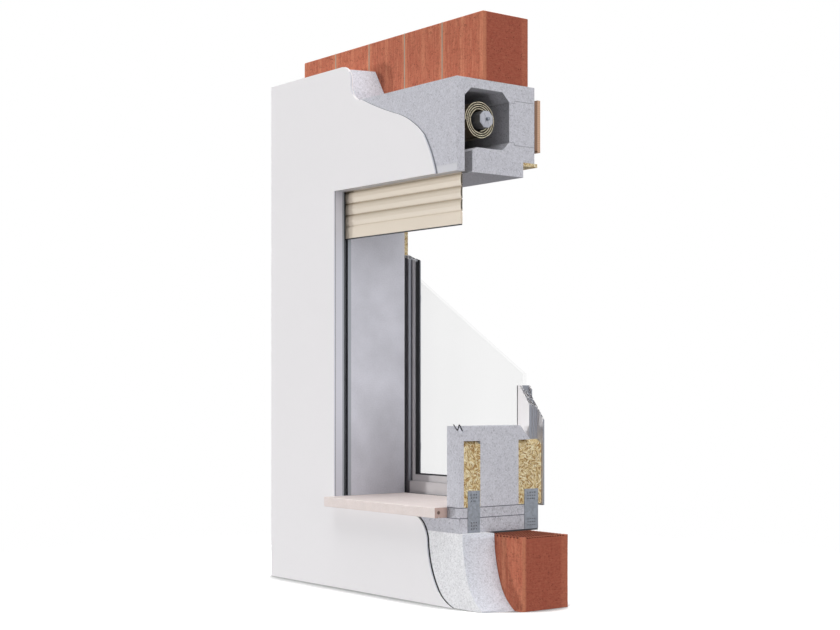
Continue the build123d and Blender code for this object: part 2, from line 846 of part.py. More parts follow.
def hanging_slat(foot):
    """Add one slat of the curtain with its foot at the given height."""
    with BuildSketch(slat_plane(foot), mode=Mode.PRIVATE) as section:
        with BuildLine():
            curved_slat(slat_height, slat_end_thickness, slat_front_bulge, slat_rear_hollow, slat_shift)
        make_face()
    extrude(section.sketch, amount=slat_length)
    centre = curtain_y - slat_shift
    span = (slat_left, slat_left + slat_length)
    block(span, (centre - lip_opening / 2, centre + lip_opening / 2), (foot, foot + lip_height),
          mode=Mode.SUBTRACT)
    block(span, (centre - channel_width / 2, centre + channel_width / 2),
          (foot + lip_height, foot + channel_depth), mode=Mode.SUBTRACT)
    tongue(foot, slat_height)


for number in range(1, visible_slat_count + 1):
    with BuildPart() as slat:
        hanging_slat(box_bottom - number * slat_pitch)
    finish(slat, f"slat_{number}")

box_slats_made = []
for number in range(box_slat_count):
    with BuildPart() as box_slat:
        hanging_slat(box_bottom + number * slat_pitch)
    box_slats_made.append(box_slat.part)
with BuildPart() as box_slats:
    for made in box_slats_made:
        add(made)
finish(box_slats, "box_slats")

# Bottom bar with its seal
bar_head = box_bottom - visible_slat_count * slat_pitch - slat_gap
bar_foot = bar_head - bottom_bar_height
bar_y = (curtain_y - bottom_bar_thickness / 2, curtain_y + bottom_bar_thickness / 2)
with BuildPart() as bottom_bar:
    block((slat_left, slat_left + slat_length), bar_y, (bar_foot, bar_head))
    fillet(bottom_bar.edges().filter_by(Axis.X), bottom_bar_round)
    tongue(bar_foot, bottom_bar_height)
finish(bottom_bar, "bottom_bar")

with BuildPart() as bottom_bar_seal:
    block((slat_left, slat_left + slat_length),
          (curtain_y - seal_thickness / 2, curtain_y + seal_thickness / 2),
          (bar_foot - seal_height, bar_foot))
finish(bottom_bar_seal, "bottom_bar_seal")

# Guides: a hollow channel with the slot the slats run in, and its brushes
guide_rear = guide_front + guide_depth
slot_edges = (curtain_y - guide_slot / 2, curtain_y + guide_slot / 2)
stub_top = sill_top + stub_height


def from_reveal(side, depth):
    """X at a depth behind the left (-1) or right (1) reveal."""
    if side < 0:
        return opening_left - depth
    return opening_right + depth


def reveal_span(side, near, far):
    """An X span between two depths behind a reveal."""
    return tuple(sorted((from_reveal(side, near), from_reveal(side, far))))


def guide_channel(side, height):
    """Add one guide standing on the sill blocks."""
    z = (sill_top, sill_top + height)
    back = guide_width - guide_wall
    block(reveal_span(side, 0, guide_width), (guide_front, guide_rear), z)
    block(reveal_span(side, 0, back), slot_edges, z, mode=Mode.SUBTRACT)
    block(reveal_span(side, guide_wall, back),
          (guide_front + guide_wall, slot_edges[0] - guide_wall), z, mode=Mode.SUBTRACT)
    block(reveal_span(side, guide_wall, back),
          (slot_edges[1] + guide_wall, guide_rear - guide_wall), z, mode=Mode.SUBTRACT)


with BuildPart() as left_guide:
    guide_channel(-1, clear_height)
finish(left_guide, "left_guide")

with BuildPart() as right_guide:
    guide_channel(1, stub_height)
finish(right_guide, "right_guide")

slat_reach = (slat_end_thickness + slat_front_bulge) / 2 + brush_slat_gap
with BuildPart() as guide_brushes:
    for side, height in ((-1, clear_height), (1, stub_height)):
        span = reveal_span(side, guide_wall, guide_wall + brush_reach)
        block(span, (slot_edges[0], curtain_y - slat_reach), (sill_top, sill_top + height))
        block(span, (curtain_y + slat_reach, slot_edges[1]), (sill_top, sill_top + height))
finish(guide_brushes, "guide_brushes")

# Jamb panels with pockets for the guide and the battens
front_batten_y = (insulation_front + front_batten_setback,
                  insulation_front + front_batten_setback + front_batten_depth)
rear_batten_y = (insulation_front + rear_batten_setback,
                 insulation_front + rear_batten_setback + rear_batten_depth)
batten_inner = jamb_thickness - batten_thickness
batten_stub_top = sill_top + batten_stub_height


def jamb_panel(side, height, batten_height):
    """Add one insulating jamb panel with its pockets."""
    z = (sill_top, sill_top + height)
    batten_z = (sill_top, sill_top + batten_height)
    block(reveal_span(side, 0, jamb_thickness), (insulation_front, jamb_rear), z)
    block(reveal_span(side, 0, guide_width), (guide_front, guide_rear), z, mode=Mode.SUBTRACT)
    block(reveal_span(side, 0, skin_thickness), (guide_rear, jamb_rear), z, mode=Mode.SUBTRACT)
    for batten_y in (front_batten_y, rear_batten_y):
        block(reveal_span(side, batten_inner, jamb_thickness), batten_y, batten_z, mode=Mode.SUBTRACT)


with BuildPart() as left_jamb_panel:
    jamb_panel(-1, clear_height, clear_height)
    block(return_x, (insulation_front, guide_front), (sill_top, box_bottom), mode=Mode.SUBTRACT)
finish(left_jamb_panel, "left_jamb_panel")

# The right jamb is a stub, its top sloping down at the rear and chipped at the front
slope_start_y = jamb_rear - stub_slope_start
notch_plane = Plane.XZ.offset(-insulation_front)
with BuildPart() as right_jamb_panel:
    jamb_panel(1, stub_height, batten_stub_height + batten_top_slope)
    prism(Plane.YZ.offset(opening_right),
          [(slope_start_y, stub_top), (jamb_rear, stub_top - stub_slope_drop), (jamb_rear, stub_top)],
          jamb_thickness, mode=Mode.SUBTRACT)
    prism(notch_plane,
          [(jamb_right - stub_notch_width, stub_top), (jamb_right, stub_top - stub_notch_drop),
           (jamb_right, stub_top)],
          -stub_notch_depth, mode=Mode.SUBTRACT)
finish(right_jamb_panel, "right_jamb_panel")

# Thin render skins on the reveals behind the guides
with BuildPart() as jamb_skins:
    block(reveal_span(-1, 0, skin_thickness), (guide_rear, jamb_rear), (sill_top, box_bottom))
    block(reveal_span(1, 0, skin_thickness), (guide_rear, jamb_rear), (sill_top, stub_top))
    prism(Plane.YZ.offset(opening_right),
          [(slope_start_y, stub_top), (jamb_rear, stub_top - stub_slope_drop), (jamb_rear, stub_top)],
          skin_thickness, mode=Mode.SUBTRACT)
finish(jamb_skins, "jamb_skins")

# Anchor straps: place, width, foot and head of each, the same on both sides
front_strap = (insulation_front + front_strap_setback, front_strap_width, subsill_bottom,
               front_strap_height)
rear_strap = (insulation_front + rear_strap_setback, rear_strap_width, subsill_bottom,
              rear_strap_height)


def hole_columns(width):
    """Count the strap's hole columns."""
    return int((width - strap_edge) / strap_hole_pitch)


def top_holes(strap):
    """Centre of a strap's upper group of holes."""
    start, width, foot, height = strap
    return (start + width / 2, foot + height - strap_edge - strap_hole_pitch)


def screw_places(strap):
    """Places (y, z) of the two screws through a strap's upper holes."""
    y, z = top_holes(strap)
    reach = (hole_columns(strap[1]) - 1) * strap_hole_pitch / 2
    return [(y - reach, z + strap_hole_pitch), (y + reach, z - strap_hole_pitch)]


def drill(x, places, diameter, depth):
    """Cut round holes across X through the current part."""
    with BuildSketch(Plane.YZ.offset(x), mode=Mode.PRIVATE) as holes:
        with Locations(*places):
            Circle(diameter / 2)
    extrude(holes.sketch, amount=depth, mode=Mode.SUBTRACT)


# Battens in the jambs' outer faces, drilled for the strap screws
strap_screws_at = screw_places(front_strap) + screw_places(rear_strap)
with BuildPart() as jamb_battens:
    for batten_y in (front_batten_y, rear_batten_y):
        block(reveal_span(-1, batten_inner, jamb_thickness), batten_y, (sill_top, box_bottom))
        block(reveal_span(1, batten_inner, jamb_thickness), batten_y,
              (sill_top, batten_stub_top + batten_top_slope))
        prism(Plane.XZ.offset(-batten_y[0]),
              [(jamb_right - batten_thickness, batten_stub_top + batten_top_slope),
               (jamb_right, batten_stub_top), (jamb_right, batten_stub_top + batten_top_slope)],
              -(batten_y[1] - batten_y[0]), mode=Mode.SUBTRACT)
    drill(jamb_left, strap_screws_at, screw_diameter, screw_length)
    drill(jamb_right, strap_screws_at, screw_diameter, -screw_length)
finish(jamb_battens, "jamb_battens")

with BuildPart() as anchor_straps:
    for x in (jamb_left - strap_thickness, jamb_right):
        for strap in (front_strap, rear_strap):
            start, width, foot, height = strap
            block((x, x + strap_thickness), (start, start + width), (foot, foot + height))
    for x in (jamb_left - strap_thickness, jamb_right):
        for strap in (front_strap, rear_strap):
            start, width, foot, height = strap
            foot_holes = (start + width / 2, foot + strap_edge + strap_hole_pitch)
            with BuildSketch(Plane.YZ.offset(x), mode=Mode.PRIVATE) as pattern:
                with Locations(top_holes(strap), foot_holes):
                    with GridLocations(strap_hole_pitch, strap_hole_pitch, hole_columns(width),
                                       strap_hole_rows):
                        Circle(strap_hole / 2)
            extrude(pattern.sketch, amount=strap_thickness, mode=Mode.SUBTRACT)
finish(anchor_straps, "anchor_straps")

with BuildPart() as strap_screws:
    for x, outward in ((jamb_left, -1), (jamb_right, 1)):
        with BuildSketch(Plane.YZ.offset(x), mode=Mode.PRIVATE) as shanks:
            with Locations(*strap_screws_at):
                Circle(screw_diameter / 2)
        extrude(shanks.sketch, amount=-outward * screw_length)
        extrude(shanks.sketch, amount=outward * strap_thickness)
        with BuildSketch(Plane.YZ.offset(x + outward * strap_thickness), mode=Mode.PRIVATE) as heads:
            with Locations(*strap_screws_at):
                Circle(screw_head_diameter / 2)
        extrude(heads.sketch, amount=outward * screw_head_height)
finish(strap_screws, "strap_screws")

# Window places: the frame stands behind the jambs, between the battens
frame_left = jamb_left + batten_thickness
frame_right = jamb_right - batten_thickness
frame_bottom = subsill_top + frame_bottom_rise
frame_rail_top = frame_bottom + frame_face
frame_body = frame_face - frame_rebate
sash_left = frame_left + frame_face + sash_gap
sash_right = frame_right - frame_face - sash_gap
sash_bottom = frame_rail_top + sash_gap
sash_front = frame_front + sash_setback
sash_body_rear = frame_rear + flange_clearance
sash_rear = sash_body_rear + sash_flange
glass_front = sash_front + glass_setback
glass_rear = glass_front + 2 * pane_thickness + pane_gap
glass_left = sash_left + sash_face - glass_lap
glass_right = sash_right - sash_face + glass_lap
glass_bottom = sash_bottom + sash_face - glass_lap
window_top = sill_top + clear_height

# Sealing tape between the jambs, the sill and the window frame
with BuildPart() as sealing_tape:
    tape_y = (jamb_rear, frame_front)
    block(reveal_span(-1, tape_inset, tape_inset + tape_width), tape_y,
          (sill_top, sill_top + left_stile_cut - left_stile_slope * (opening_left - frame_left)))
    block(reveal_span(1, tape_inset, tape_inset + tape_width), tape_y,
          (sill_top, stub_top - stub_slope_drop))
    block((frame_left, frame_right), tape_y, (sill_top - tape_foot_drop, sill_top))
finish(sealing_tape, "sealing_tape")

# Packer under the window frame
with BuildPart() as window_packer:
    block((frame_left, frame_right), (frame_front, subsill_rear), (subsill_top, frame_bottom))
finish(window_packer, "window_packer")


def frame_section(plane, fin_reach):
    """The hollow frame section: X inwards from its outer edge, Y from its front."""
    chamber_outer = frame_groove_depth + frame_wall
    chamber_inner = frame_body - frame_wall
    chamber_middle = (chamber_outer + chamber_inner) / 2
    columns = ((chamber_outer, chamber_middle - frame_wall / 2),
               (chamber_middle + frame_wall / 2, chamber_inner))
    rows = ((frame_wall, frame_nose - frame_wall), (frame_nose, frame_web),
            (frame_web + frame_wall, frame_depth - frame_wall))
    with BuildSketch(plane, mode=Mode.PRIVATE) as section:
        with BuildLine():
            Polyline((0, 0), (frame_face, 0), (frame_face, frame_nose), (frame_body, frame_nose),
                     (frame_body, frame_depth), (-fin_reach, frame_depth),
                     (-fin_reach, frame_depth - frame_fin_thickness),
                     (0, frame_depth - frame_fin_thickness), close=True)
        make_face()
        for start, end in rows:
            for low, high in columns:
                with Locations(((low + high) / 2, (start + end) / 2)):
                    Rectangle(high - low, end - start, mode=Mode.SUBTRACT)
        for groove in (frame_nose, frame_web + frame_wall):
            with Locations((frame_groove_depth / 2, groove)):
                Rectangle(frame_groove_depth, frame_groove_width, mode=Mode.SUBTRACT)
    return section.sketch


def sash_section(plane):
    """The hollow sash section: X inwards from its outer edge, Y from its front."""
    glass_seat = sash_face - glass_lap - glass_edge_room
    bead_front = glass_rear - sash_front
    body_depth = sash_body_rear - sash_front
    depth = sash_rear - sash_front
    with BuildSketch(plane, mode=Mode.PRIVATE) as section:
        with BuildLine():
            Polyline((0, 0), (sash_face, 0), (sash_face, glass_setback), (glass_seat, glass_setback),
                     (glass_seat, bead_front), (sash_face - bead_setback, bead_front),
                     (sash_face - bead_setback, depth), (-sash_overlap, depth),
                     (-sash_overlap, body_depth), (0, body_depth), close=True)
        make_face()
        for low, high, start, end in (
                (sash_wall, glass_seat - sash_wall, sash_wall, bead_front - sash_wall),
                (glass_seat, sash_face - sash_wall, sash_wall, glass_setback - sash_wall)):
            with Locations(((low + high) / 2, (start + end) / 2)):
                Rectangle(high - low, end - start, mode=Mode.SUBTRACT)
    return section.sketch


def upright_plane(side, x, y, z):
    """A plane for a stile's section, its X pointing into the window from either side."""
    return Plane(origin=(x, y, z), x_dir=(-side, 0, 0), z_dir=(0, 0, -side))


def cut_left_stile():
    """Cut the left stile's head along its slope."""
    left = frame_left - frame_fin_reach
    right = sash_left + sash_face + gasket_width
    foot = sill_top + left_stile_cut
    prism(Plane.XZ.offset(-frame_front),
          [(left, foot - left_stile_slope * (left - frame_left)),
           (right, foot - left_stile_slope * (right - frame_left)),
           (right, window_top), (left, window_top)],
          -(sash_rear - frame_front), mode=Mode.SUBTRACT)


def cut_right_stile(lean):
    """Cut the right stile's head: level over the sash, sloping over the frame."""
    inner = frame_right - frame_face
    outer = frame_right + frame_fin_reach
    middle = inner - sash_face - gasket_width - sash_gap
    level = sill_top + right_stile_cut
    depth = sash_rear - frame_front
    prism(Plane.XZ.offset(-frame_front),
          [(middle, level), (inner, level), (outer, level - right_stile_slope * (outer - inner)),
           (outer, window_top), (middle, window_top)],
          depth * math.hypot(1, lean), mode=Mode.SUBTRACT, direction=(0, 1, -lean))


# Window frame: a stile on each side, the rail between them
with BuildPart() as frame_left_stile:
    extrude(frame_section(upright_plane(-1, frame_left, frame_front, frame_bottom), frame_fin_reach),
            amount=window_top - frame_bottom)
    cut_left_stile()
finish(frame_left_stile, "frame_left_stile")

with BuildPart() as frame_right_stile:
    extrude(frame_section(upright_plane(1, frame_right, frame_front, frame_bottom), frame_fin_reach),
            amount=-(right_stile_cut + sill_top - frame_bottom))
    cut_right_stile(right_stile_lean)
finish(frame_right_stile, "frame_right_stile")

rail_length = frame_right - frame_left - 2 * frame_body
with BuildPart() as frame_bottom_rail:
    rail_plane = Plane(origin=(frame_right - frame_body, frame_front, frame_bottom),
                       x_dir=(0, 0, 1), z_dir=(-1, 0, 0))
    extrude(frame_section(rail_plane, frame_fin_drop), amount=rail_length)
    for end in (frame_left + frame_body, frame_right - frame_face):
        block((end, end + frame_rebate), (frame_front, frame_front + frame_nose),
              (frame_bottom, frame_rail_top), mode=Mode.SUBTRACT)
finish(frame_bottom_rail, "frame_bottom_rail")

# Sash: its stiles lap over the frame inside, the rail runs between them
flange_foot = sash_bottom - sash_overlap


def clear_frame_rail():
    """Cut a stile's body where the frame rail stands below the sash."""
    block((frame_left, frame_right), (sash_front, sash_body_rear), (flange_foot, sash_bottom),
          mode=Mode.SUBTRACT)


with BuildPart() as sash_left_stile:
    extrude(sash_section(upright_plane(-1, sash_left, sash_front, flange_foot)),
            amount=window_top - flange_foot)
    clear_frame_rail()
    cut_left_stile()
finish(sash_left_stile, "sash_left_stile")

with BuildPart() as sash_right_stile:
    extrude(sash_section(upright_plane(1, sash_right, sash_front, flange_foot)),
            amount=-(sill_top + right_stile_cut - flange_foot))
    clear_frame_rail()
    cut_right_stile(0)
finish(sash_right_stile, "sash_right_stile")

with BuildPart() as sash_bottom_rail:
    sash_rail_plane = Plane(origin=(sash_right - sash_face, sash_front, sash_bottom),
                            x_dir=(0, 0, 1), z_dir=(-1, 0, 0))
    extrude(sash_section(sash_rail_plane), amount=sash_right - sash_left - 2 * sash_face)
finish(sash_bottom_rail, "sash_bottom_rail")

# Double glazing, broken off along a slope from the left stile down to the right
glass_cut_left = sill_top + glass_cut
glass_cut_right = glass_cut_left - glass_cut_slope * (glass_right - glass_left)


def pane(front):
    """Add one pane with its front face at the given place."""
    prism(Plane.XZ.offset(-front),
          [(glass_left, glass_bottom), (glass_right, glass_bottom), (glass_right, glass_cut_right),
           (glass_left, glass_cut_left)],
          -pane_thickness)


with BuildPart() as outer_pane:
    pane(glass_front)
finish(outer_pane, "outer_pane")

with BuildPart() as inner_pane:
    pane(glass_rear - pane_thickness)
finish(inner_pane, "inner_pane")

spacer_left = glass_left + spacer_inset
spacer_right = glass_right - spacer_inset
spacer_foot = glass_bottom + spacer_inset
spacer_y = (glass_front + pane_thickness, glass_rear - pane_thickness)
with BuildPart() as glazing_spacer:
    block((spacer_left, spacer_right), spacer_y, (spacer_foot, glass_cut_left))
    block((spacer_left + spacer_width, spacer_right - spacer_width), spacer_y,
          (spacer_foot + spacer_width, glass_cut_left), mode=Mode.SUBTRACT)
    prism(Plane.XZ.offset(-glass_front),
          [(glass_left, glass_cut_left), (glass_right, glass_cut_right), (glass_right, glass_cut_left)],
          -(glass_rear - glass_front), mode=Mode.SUBTRACT)
    block((spacer_right - spacer_width, spacer_right), spacer_y,
          (sill_top + right_stile_cut, glass_cut_left), mode=Mode.SUBTRACT)
finish(glazing_spacer, "glazing_spacer")

# Glazing gasket round the inside of the sash face
gasket_left = sash_left + sash_face
gasket_right = sash_right - sash_face
gasket_foot = sash_bottom + sash_face
with BuildPart() as glazing_gasket:
    gasket_y = (glass_front - gasket_depth, glass_front)
    block((gasket_left, gasket_left + gasket_width), gasket_y, (gasket_foot, window_top))
    cut_left_stile()
    block((gasket_left, gasket_right), gasket_y, (gasket_foot, gasket_foot + gasket_width))
    block((gasket_right - gasket_width, gasket_right), gasket_y,
          (gasket_foot, sill_top + right_stile_cut))
finish(glazing_gasket, "glazing_gasket")

# Sash hinges: an upright pin beside the left stile on the room side
hinge_x = sash_left - sash_overlap - hinge_axis_outset
hinge_y = frame_rear + hinge_axis_proud
hinge_feet = (sill_top + hinge_rise_low, sill_top + hinge_rise_high)


def knuckle(foot, height):
    """Add a bored knuckle round the hinge axis."""
    with BuildSketch(Plane(origin=(hinge_x, hinge_y, foot)), mode=Mode.PRIVATE) as ring:
        Circle(barrel_radius)
        Circle(hinge_pin_diameter / 2 + fit_clearance, mode=Mode.SUBTRACT)
    extrude(ring.sketch, amount=height)


def clear_pin(foot, height):
    """Cut the pin's bore through leaf and knuckle."""
    with BuildSketch(Plane(origin=(hinge_x, hinge_y, foot)), mode=Mode.PRIVATE) as bore:
        Circle(hinge_pin_diameter / 2 + fit_clearance)
    extrude(bore.sketch, amount=height, mode=Mode.SUBTRACT)


with BuildPart() as hinge_frame_halves:
    for foot in hinge_feet:
        knuckle(foot, knuckle_height)
        block((hinge_x - hinge_leaf_width, hinge_x), (frame_rear, frame_rear + hinge_leaf_thickness),
              (foot, foot + knuckle_height))
        clear_pin(foot, knuckle_height)
finish(hinge_frame_halves, "hinge_frame_halves")

with BuildPart() as hinge_sash_halves:
    for foot in hinge_feet:
        upper = foot + knuckle_height + knuckle_gap
        knuckle(upper, knuckle_height)
        block((hinge_x, hinge_x + hinge_axis_outset + hinge_leaf_width),
              (sash_rear, sash_rear + hinge_leaf_thickness), (upper, upper + knuckle_height))
        clear_pin(upper, knuckle_height)
finish(hinge_sash_halves, "hinge_sash_halves")

with BuildPart() as hinge_pins:
    for foot in hinge_feet:
        with BuildSketch(Plane(origin=(hinge_x, hinge_y, foot))):
            Circle(hinge_pin_diameter / 2)
        extrude(amount=2 * knuckle_height + knuckle_gap)
finish(hinge_pins, "hinge_pins")

print(f"sample {overall_length:.1f} x {hinge_reach + sill_overhang:.1f} x {overall_height:.1f} mm")
print(f"roller axis y {axis_y:.2f} z {axis_z:.2f}, curtain y {curtain_y:.2f}")
print(f"sash axis x {hinge_x:.2f} y {hinge_y:.2f}, box from {box_bottom:.1f} to {box_top:.1f}")
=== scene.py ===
"""Dresses the roller shutter sample: finishes, fine detail, light and camera.

Laid out as a Blender add-on and run as a script. Lengths are metres, in the CAD's own frame:
+Z up, the facade facing -Y, the cut end of the sample facing +X.
"""

import math

import bpy
from bpy.props import FloatProperty, FloatVectorProperty, PointerProperty
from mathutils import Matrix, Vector


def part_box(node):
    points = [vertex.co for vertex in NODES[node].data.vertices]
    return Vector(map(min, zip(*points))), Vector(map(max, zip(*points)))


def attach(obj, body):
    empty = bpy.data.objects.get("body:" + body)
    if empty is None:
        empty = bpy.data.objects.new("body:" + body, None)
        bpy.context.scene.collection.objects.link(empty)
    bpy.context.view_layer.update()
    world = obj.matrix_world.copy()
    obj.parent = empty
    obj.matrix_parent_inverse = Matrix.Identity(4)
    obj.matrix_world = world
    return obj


bl_info = {
    "name": "Roller shutter sample",
    "version": (1, 0, 0),
    "blender": (4, 5, 0),
    "location": "3D View > Sidebar > Shutter",
    "description": "Finishes, fine detail, light and camera for the roller shutter sample",
    "category": "Object",
}

MM = 0.001
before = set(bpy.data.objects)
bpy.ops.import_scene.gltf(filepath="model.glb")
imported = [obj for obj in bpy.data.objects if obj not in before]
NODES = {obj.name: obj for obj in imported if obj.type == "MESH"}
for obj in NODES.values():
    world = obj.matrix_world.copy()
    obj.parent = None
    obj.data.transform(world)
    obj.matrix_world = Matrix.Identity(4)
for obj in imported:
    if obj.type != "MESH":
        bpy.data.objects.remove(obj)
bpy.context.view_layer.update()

# The camera, worked out from the straight edges in the photograph
CAMERA_PLACE = (4.759784, -3.541506, 0.785762)
CAMERA_TURN = (math.pi / 2, 0, 0.886)
CAMERA_SHIFT = (-0.0721, 0.0841)
SENSOR_WIDTH = 36

# Each lamp's key in the stage's settings, way of travel, and breadth in degrees. The front lamp throws the shadow
# on the window's rail and the side lamp those on the bricks. The fill lamp lights the cut faces, and the under
# lamp the undersides of the box and the sill.
LAMPS = (
    ("front", (0.35, 1.0, -0.06), 4), ("side", (0.8, 1.0, 0.12), 6), ("top", (0.0, 0.02, -1.0), 60),
    ("fill", (-1.0, 0.05, -0.12), 40), ("under", (-0.6, 0.25, 1.0), 30),
)
LAMP_DISTANCE = 4

# Breadth of the dark sheet behind the front and the rear straps, painted shade for their holes, and how high over
# the base it reaches
HOLE_SHADE_SHEETS = (("front", 55 * MM, 413 * MM), ("rear", 66 * MM, 410 * MM))
STRAP_SHEET = 2 * MM

# The bent wire's corners in millimetres, as across, back and up from the stub's top corner
WIRE_CORNERS = ((-31, 0, 7), (-8, 0, -15), (2.3, 0, 7), (2.3, 14, -16))
WIRE_RADIUS = 2.3 * MM


def linear(code):
    """An sRGB hex colour as linear red, green, blue and full alpha."""
    parts = [int(code[i:i + 2], 16) / 255 for i in (1, 3, 5)]
    return [p / 12.92 if p <= 0.04045 else ((p + 0.055) / 1.055) ** 2.4 for p in parts] + [1.0]


def colour(name, description, code):
    """A colour that a user may change."""
    return FloatVectorProperty(name=name, description=description, subtype="COLOR", size=4, min=0, max=1,
                               default=linear(code))


def length(name, description, millimetres):
    """A length that a user may change."""
    return FloatProperty(name=name, description=description, unit="LENGTH", subtype="DISTANCE", min=0,
                         default=millimetres * MM)


def number(name, description, value, low=0, high=100):
    """A plain number that a user may change."""
    return FloatProperty(name=name, description=description, default=value, min=low, max=high)


# Settings

class MasonrySettings(bpy.types.PropertyGroup):
    """Colours and sizes of the bricks and their mortar."""
    brick: colour("Brick", "Drawn bands of the fired clay", "#D28A69")
    panel: colour("Brick panel", "Rougher clay between the bands", "#B4634B")
    cut: colour("Brick end", "Clay at the bricks' ends", "#9A4C3B")
    pit: colour("Brick pits", "Shaded pits and scorched grains", "#70382A")
    cell_shade: colour("Cells", "Shaded clay inside the open cells", "#4C231A")
    cell_depth: length("Cell depth", "Depth of the open cells", 45)
    mortar: colour("Mortar", "Thin cement joints", "#B4AF9E")
    pitch: length("Brick pitch", "One brick with its joint", 234)
    edge_band: length("Edge band", "Drawn band along each end of a brick", 18)
    centre_band: length("Centre band", "Half of the drawn band at a brick's middle", 13)
    grain: length("Clay grain", "Spacing of the clay's coarse grains", 4)
    rounding: length("Brick rounding", "Soft edge of a brick", 3)


class InsulationSettings(bpy.types.PropertyGroup):
    """Colours and bead size of the expanded foams."""
    facade: colour("Facade foam", "White expanded polystyrene", "#F0F0F3")
    torn: colour("Torn foam", "Shade that a torn face of white foam takes", "#E0E2E8")
    box: colour("Box foam", "Grey expanded polystyrene of the box and jambs", "#CBCBD3")
    # Painted shade: darker than the box foam for the shade under the sill
    panel: colour("Panel foam", "Coarser foam under the sill", "#C5C5CD")
    gap: colour("Bead gaps", "Shade between the beads", "#7C7C86")
    bead: length("Bead size", "Diameter of one foam bead", 4)
    # Painted shade: the chamber's foam takes this dark tint deep in the box
    deep: colour("Chamber", "Dusty foam deep in the box", "#2E2B2A")
    tape: colour("Sealing tape", "Open foam at the window's edge", "#3A3A40")
    # Painted shade: the wire end is dark to stand also for the shade in the stub's notch
    seam: colour("Seams", "Dark adhesive between foam pieces", "#5B5C66")
    wire: colour("Wire", "Blackened steel wire", "#2C2C30")
    rounding: length("Foam rounding", "Soft edge of a cut board", 1)


class FacadeSettings(bpy.types.PropertyGroup):
    """Colours of the render coats, the sill and the trims."""
    finish: colour("Finish coat", "Smooth white finish plaster", "#F0EEF0")
    base: colour("Base coat", "Grey adhesive render with its mesh", "#8E9096")
    mesh: colour("Mesh", "Bared glass mesh at the torn edge", "#2A2A2E")
    reveal: colour("Reveal skin", "Fine plaster on the jambs", "#D7D7E0")
    sill: colour("Sill", "Pale honed stone", "#E6DBD8")
    fleck: colour("Sill flecks", "Warmer grains in the stone", "#D9C6B8")
    sawn: colour("Sawn sill end", "Darker stone of the sill's sawn end", "#AE968E")
    bore: colour("Sill bore", "Shade in the bore of the sawn end", "#56423B")
    membrane: colour("Membrane", "Dark bituminous strip", "#3A3C40")
    profile: colour("Edge profile", "Plastic plaster edge", "#C9C9CF")


class TimberSettings(bpy.types.PropertyGroup):
    """Colours and sizes of the boards."""
    strand: colour("Strand", "Usual strand of the board", "#DDC694")
    pale: colour("Pale strand", "Fresh strand", "#F6ECCB")
    dark: colour("Dark strand", "Resin and bark strand", "#A37C43")
    strand_size: length("Strand size", "Usual size of a strand", 13)
    board: colour("Cover board", "Planed softwood", "#CDA88C")
    # Painted shade: the cover's inner board is painted darker for the shadow it lies in
    cover_frame_shade: colour("Cover frame", "Older softwood of the cover's inner board", "#7C5C48")
    board_dark: colour("Board grain", "Late wood lines", "#8E6244")
    grain: length("Grain spacing", "Spacing of the late wood lines", 7)


class ShutterSettings(bpy.types.PropertyGroup):
    """Colours of the curtain, the roller and the guides."""
    slat: colour("Slat", "Baked cream enamel on aluminium", "#E3D6C4")
    joint_shade: colour("Slat joints", "Shade and dust in the slats' joints", "#A6947B")
    wound: colour("Wound slats", "Enamel in the shade of the next turn", "#5A4D3B")
    wound_end: colour("Wound slat ends", "Enamel on the sawn edge of a wound slat", "#EFE4C6")
    core: colour("Slat core", "Dark foam core at a slat's sawn end", "#4A4032")
    slat_pitch: length("Slat pitch", "Height of one slat with its joint", 45)
    guide: colour("Guide", "Grey powder coat on aluminium", "#A2A6AE")
    zinc: colour("Zinc", "Hot dipped galvanised steel", "#868B93")
    steel: colour("Roller tube", "Rolled galvanised tube", "#7C7E84")
    cap: colour("Moulded parts", "Grey moulded polyamide", "#B9BBC4")
    dark_part: colour("Dark moulded parts", "Black moulded polyamide", "#2B2C30")
    motor: colour("Motor", "Satin paint on the motor's tube", "#B9BCC2")
    brush: colour("Brush", "Polypropylene pile of the guides", "#26272B")
    spangle: length("Zinc spangle", "Size of one zinc crystal", 7)


class WindowSettings(bpy.types.PropertyGroup):
    """Colours of the window."""
    plastic: colour("Frame", "Extruded plastic of frame and sash", "#DCD9DA")
    # Painted shade: tint for the frame's faces that look along +X
    flank_shade: colour("Flank film", "Protective film on the frame's flanks", "#8E919A")
    # Painted shade of the left jamb on the window's plastic
    shade: colour("Jamb shade", "Plastic dulled beside the left jamb", "#77747A")
    hollow: colour("Cut cells", "Shade in the profile's cells at a cut", "#33353D")
    cell: length("Cell size", "Size of the profile's small cells", 12)
    rubber: colour("Gasket", "Black weather seal", "#232428")
    spacer: colour("Spacer", "Aluminium spacer between the panes", "#7A7D86")
    glass: colour("Glass", "Clear float glass", "#FCFDFD")
    glass_share: number("Glass share", "Share of light that the pane's surface keeps", 0.02, 0, 1)
    glass_index: number("Glass index", "Refractive index of float glass", 1.5, 1, 2)


class StageSettings(bpy.types.PropertyGroup):
    """Light, floor and camera."""
    floor: colour("Floor", "White paper under the sample", "#FFFFFF")
    front: number("Front light", "Strength of the lamp before the facade", 1.0)
    side: number("Side light", "Strength of the lamp at the left", 1.15)
    top: number("Top light", "Strength of the broad lamp overhead", 3.0)
    fill: number("Fill light", "Strength of the broad lamp facing the cut end", 1.85)
    under: number("Under light", "Strength of the broad lamp under the box and the sill", 0.45)
    ambient: number("Sky light", "Strength of the even light from all round", 0.09)
    reach: length("Floor reach", "Radius at which the floor has faded out", 2600)
    focal: number("Focal length", "Camera focal length in millimetres", 65.97, 1, 500)


SETTINGS = {
    "shutter_masonry": MasonrySettings, "shutter_insulation": InsulationSettings,
    "shutter_facade": FacadeSettings, "shutter_timber": TimberSettings,
    "shutter_parts": ShutterSettings, "shutter_window": WindowSettings,
    "shutter_stage": StageSettings,
}


# Materials

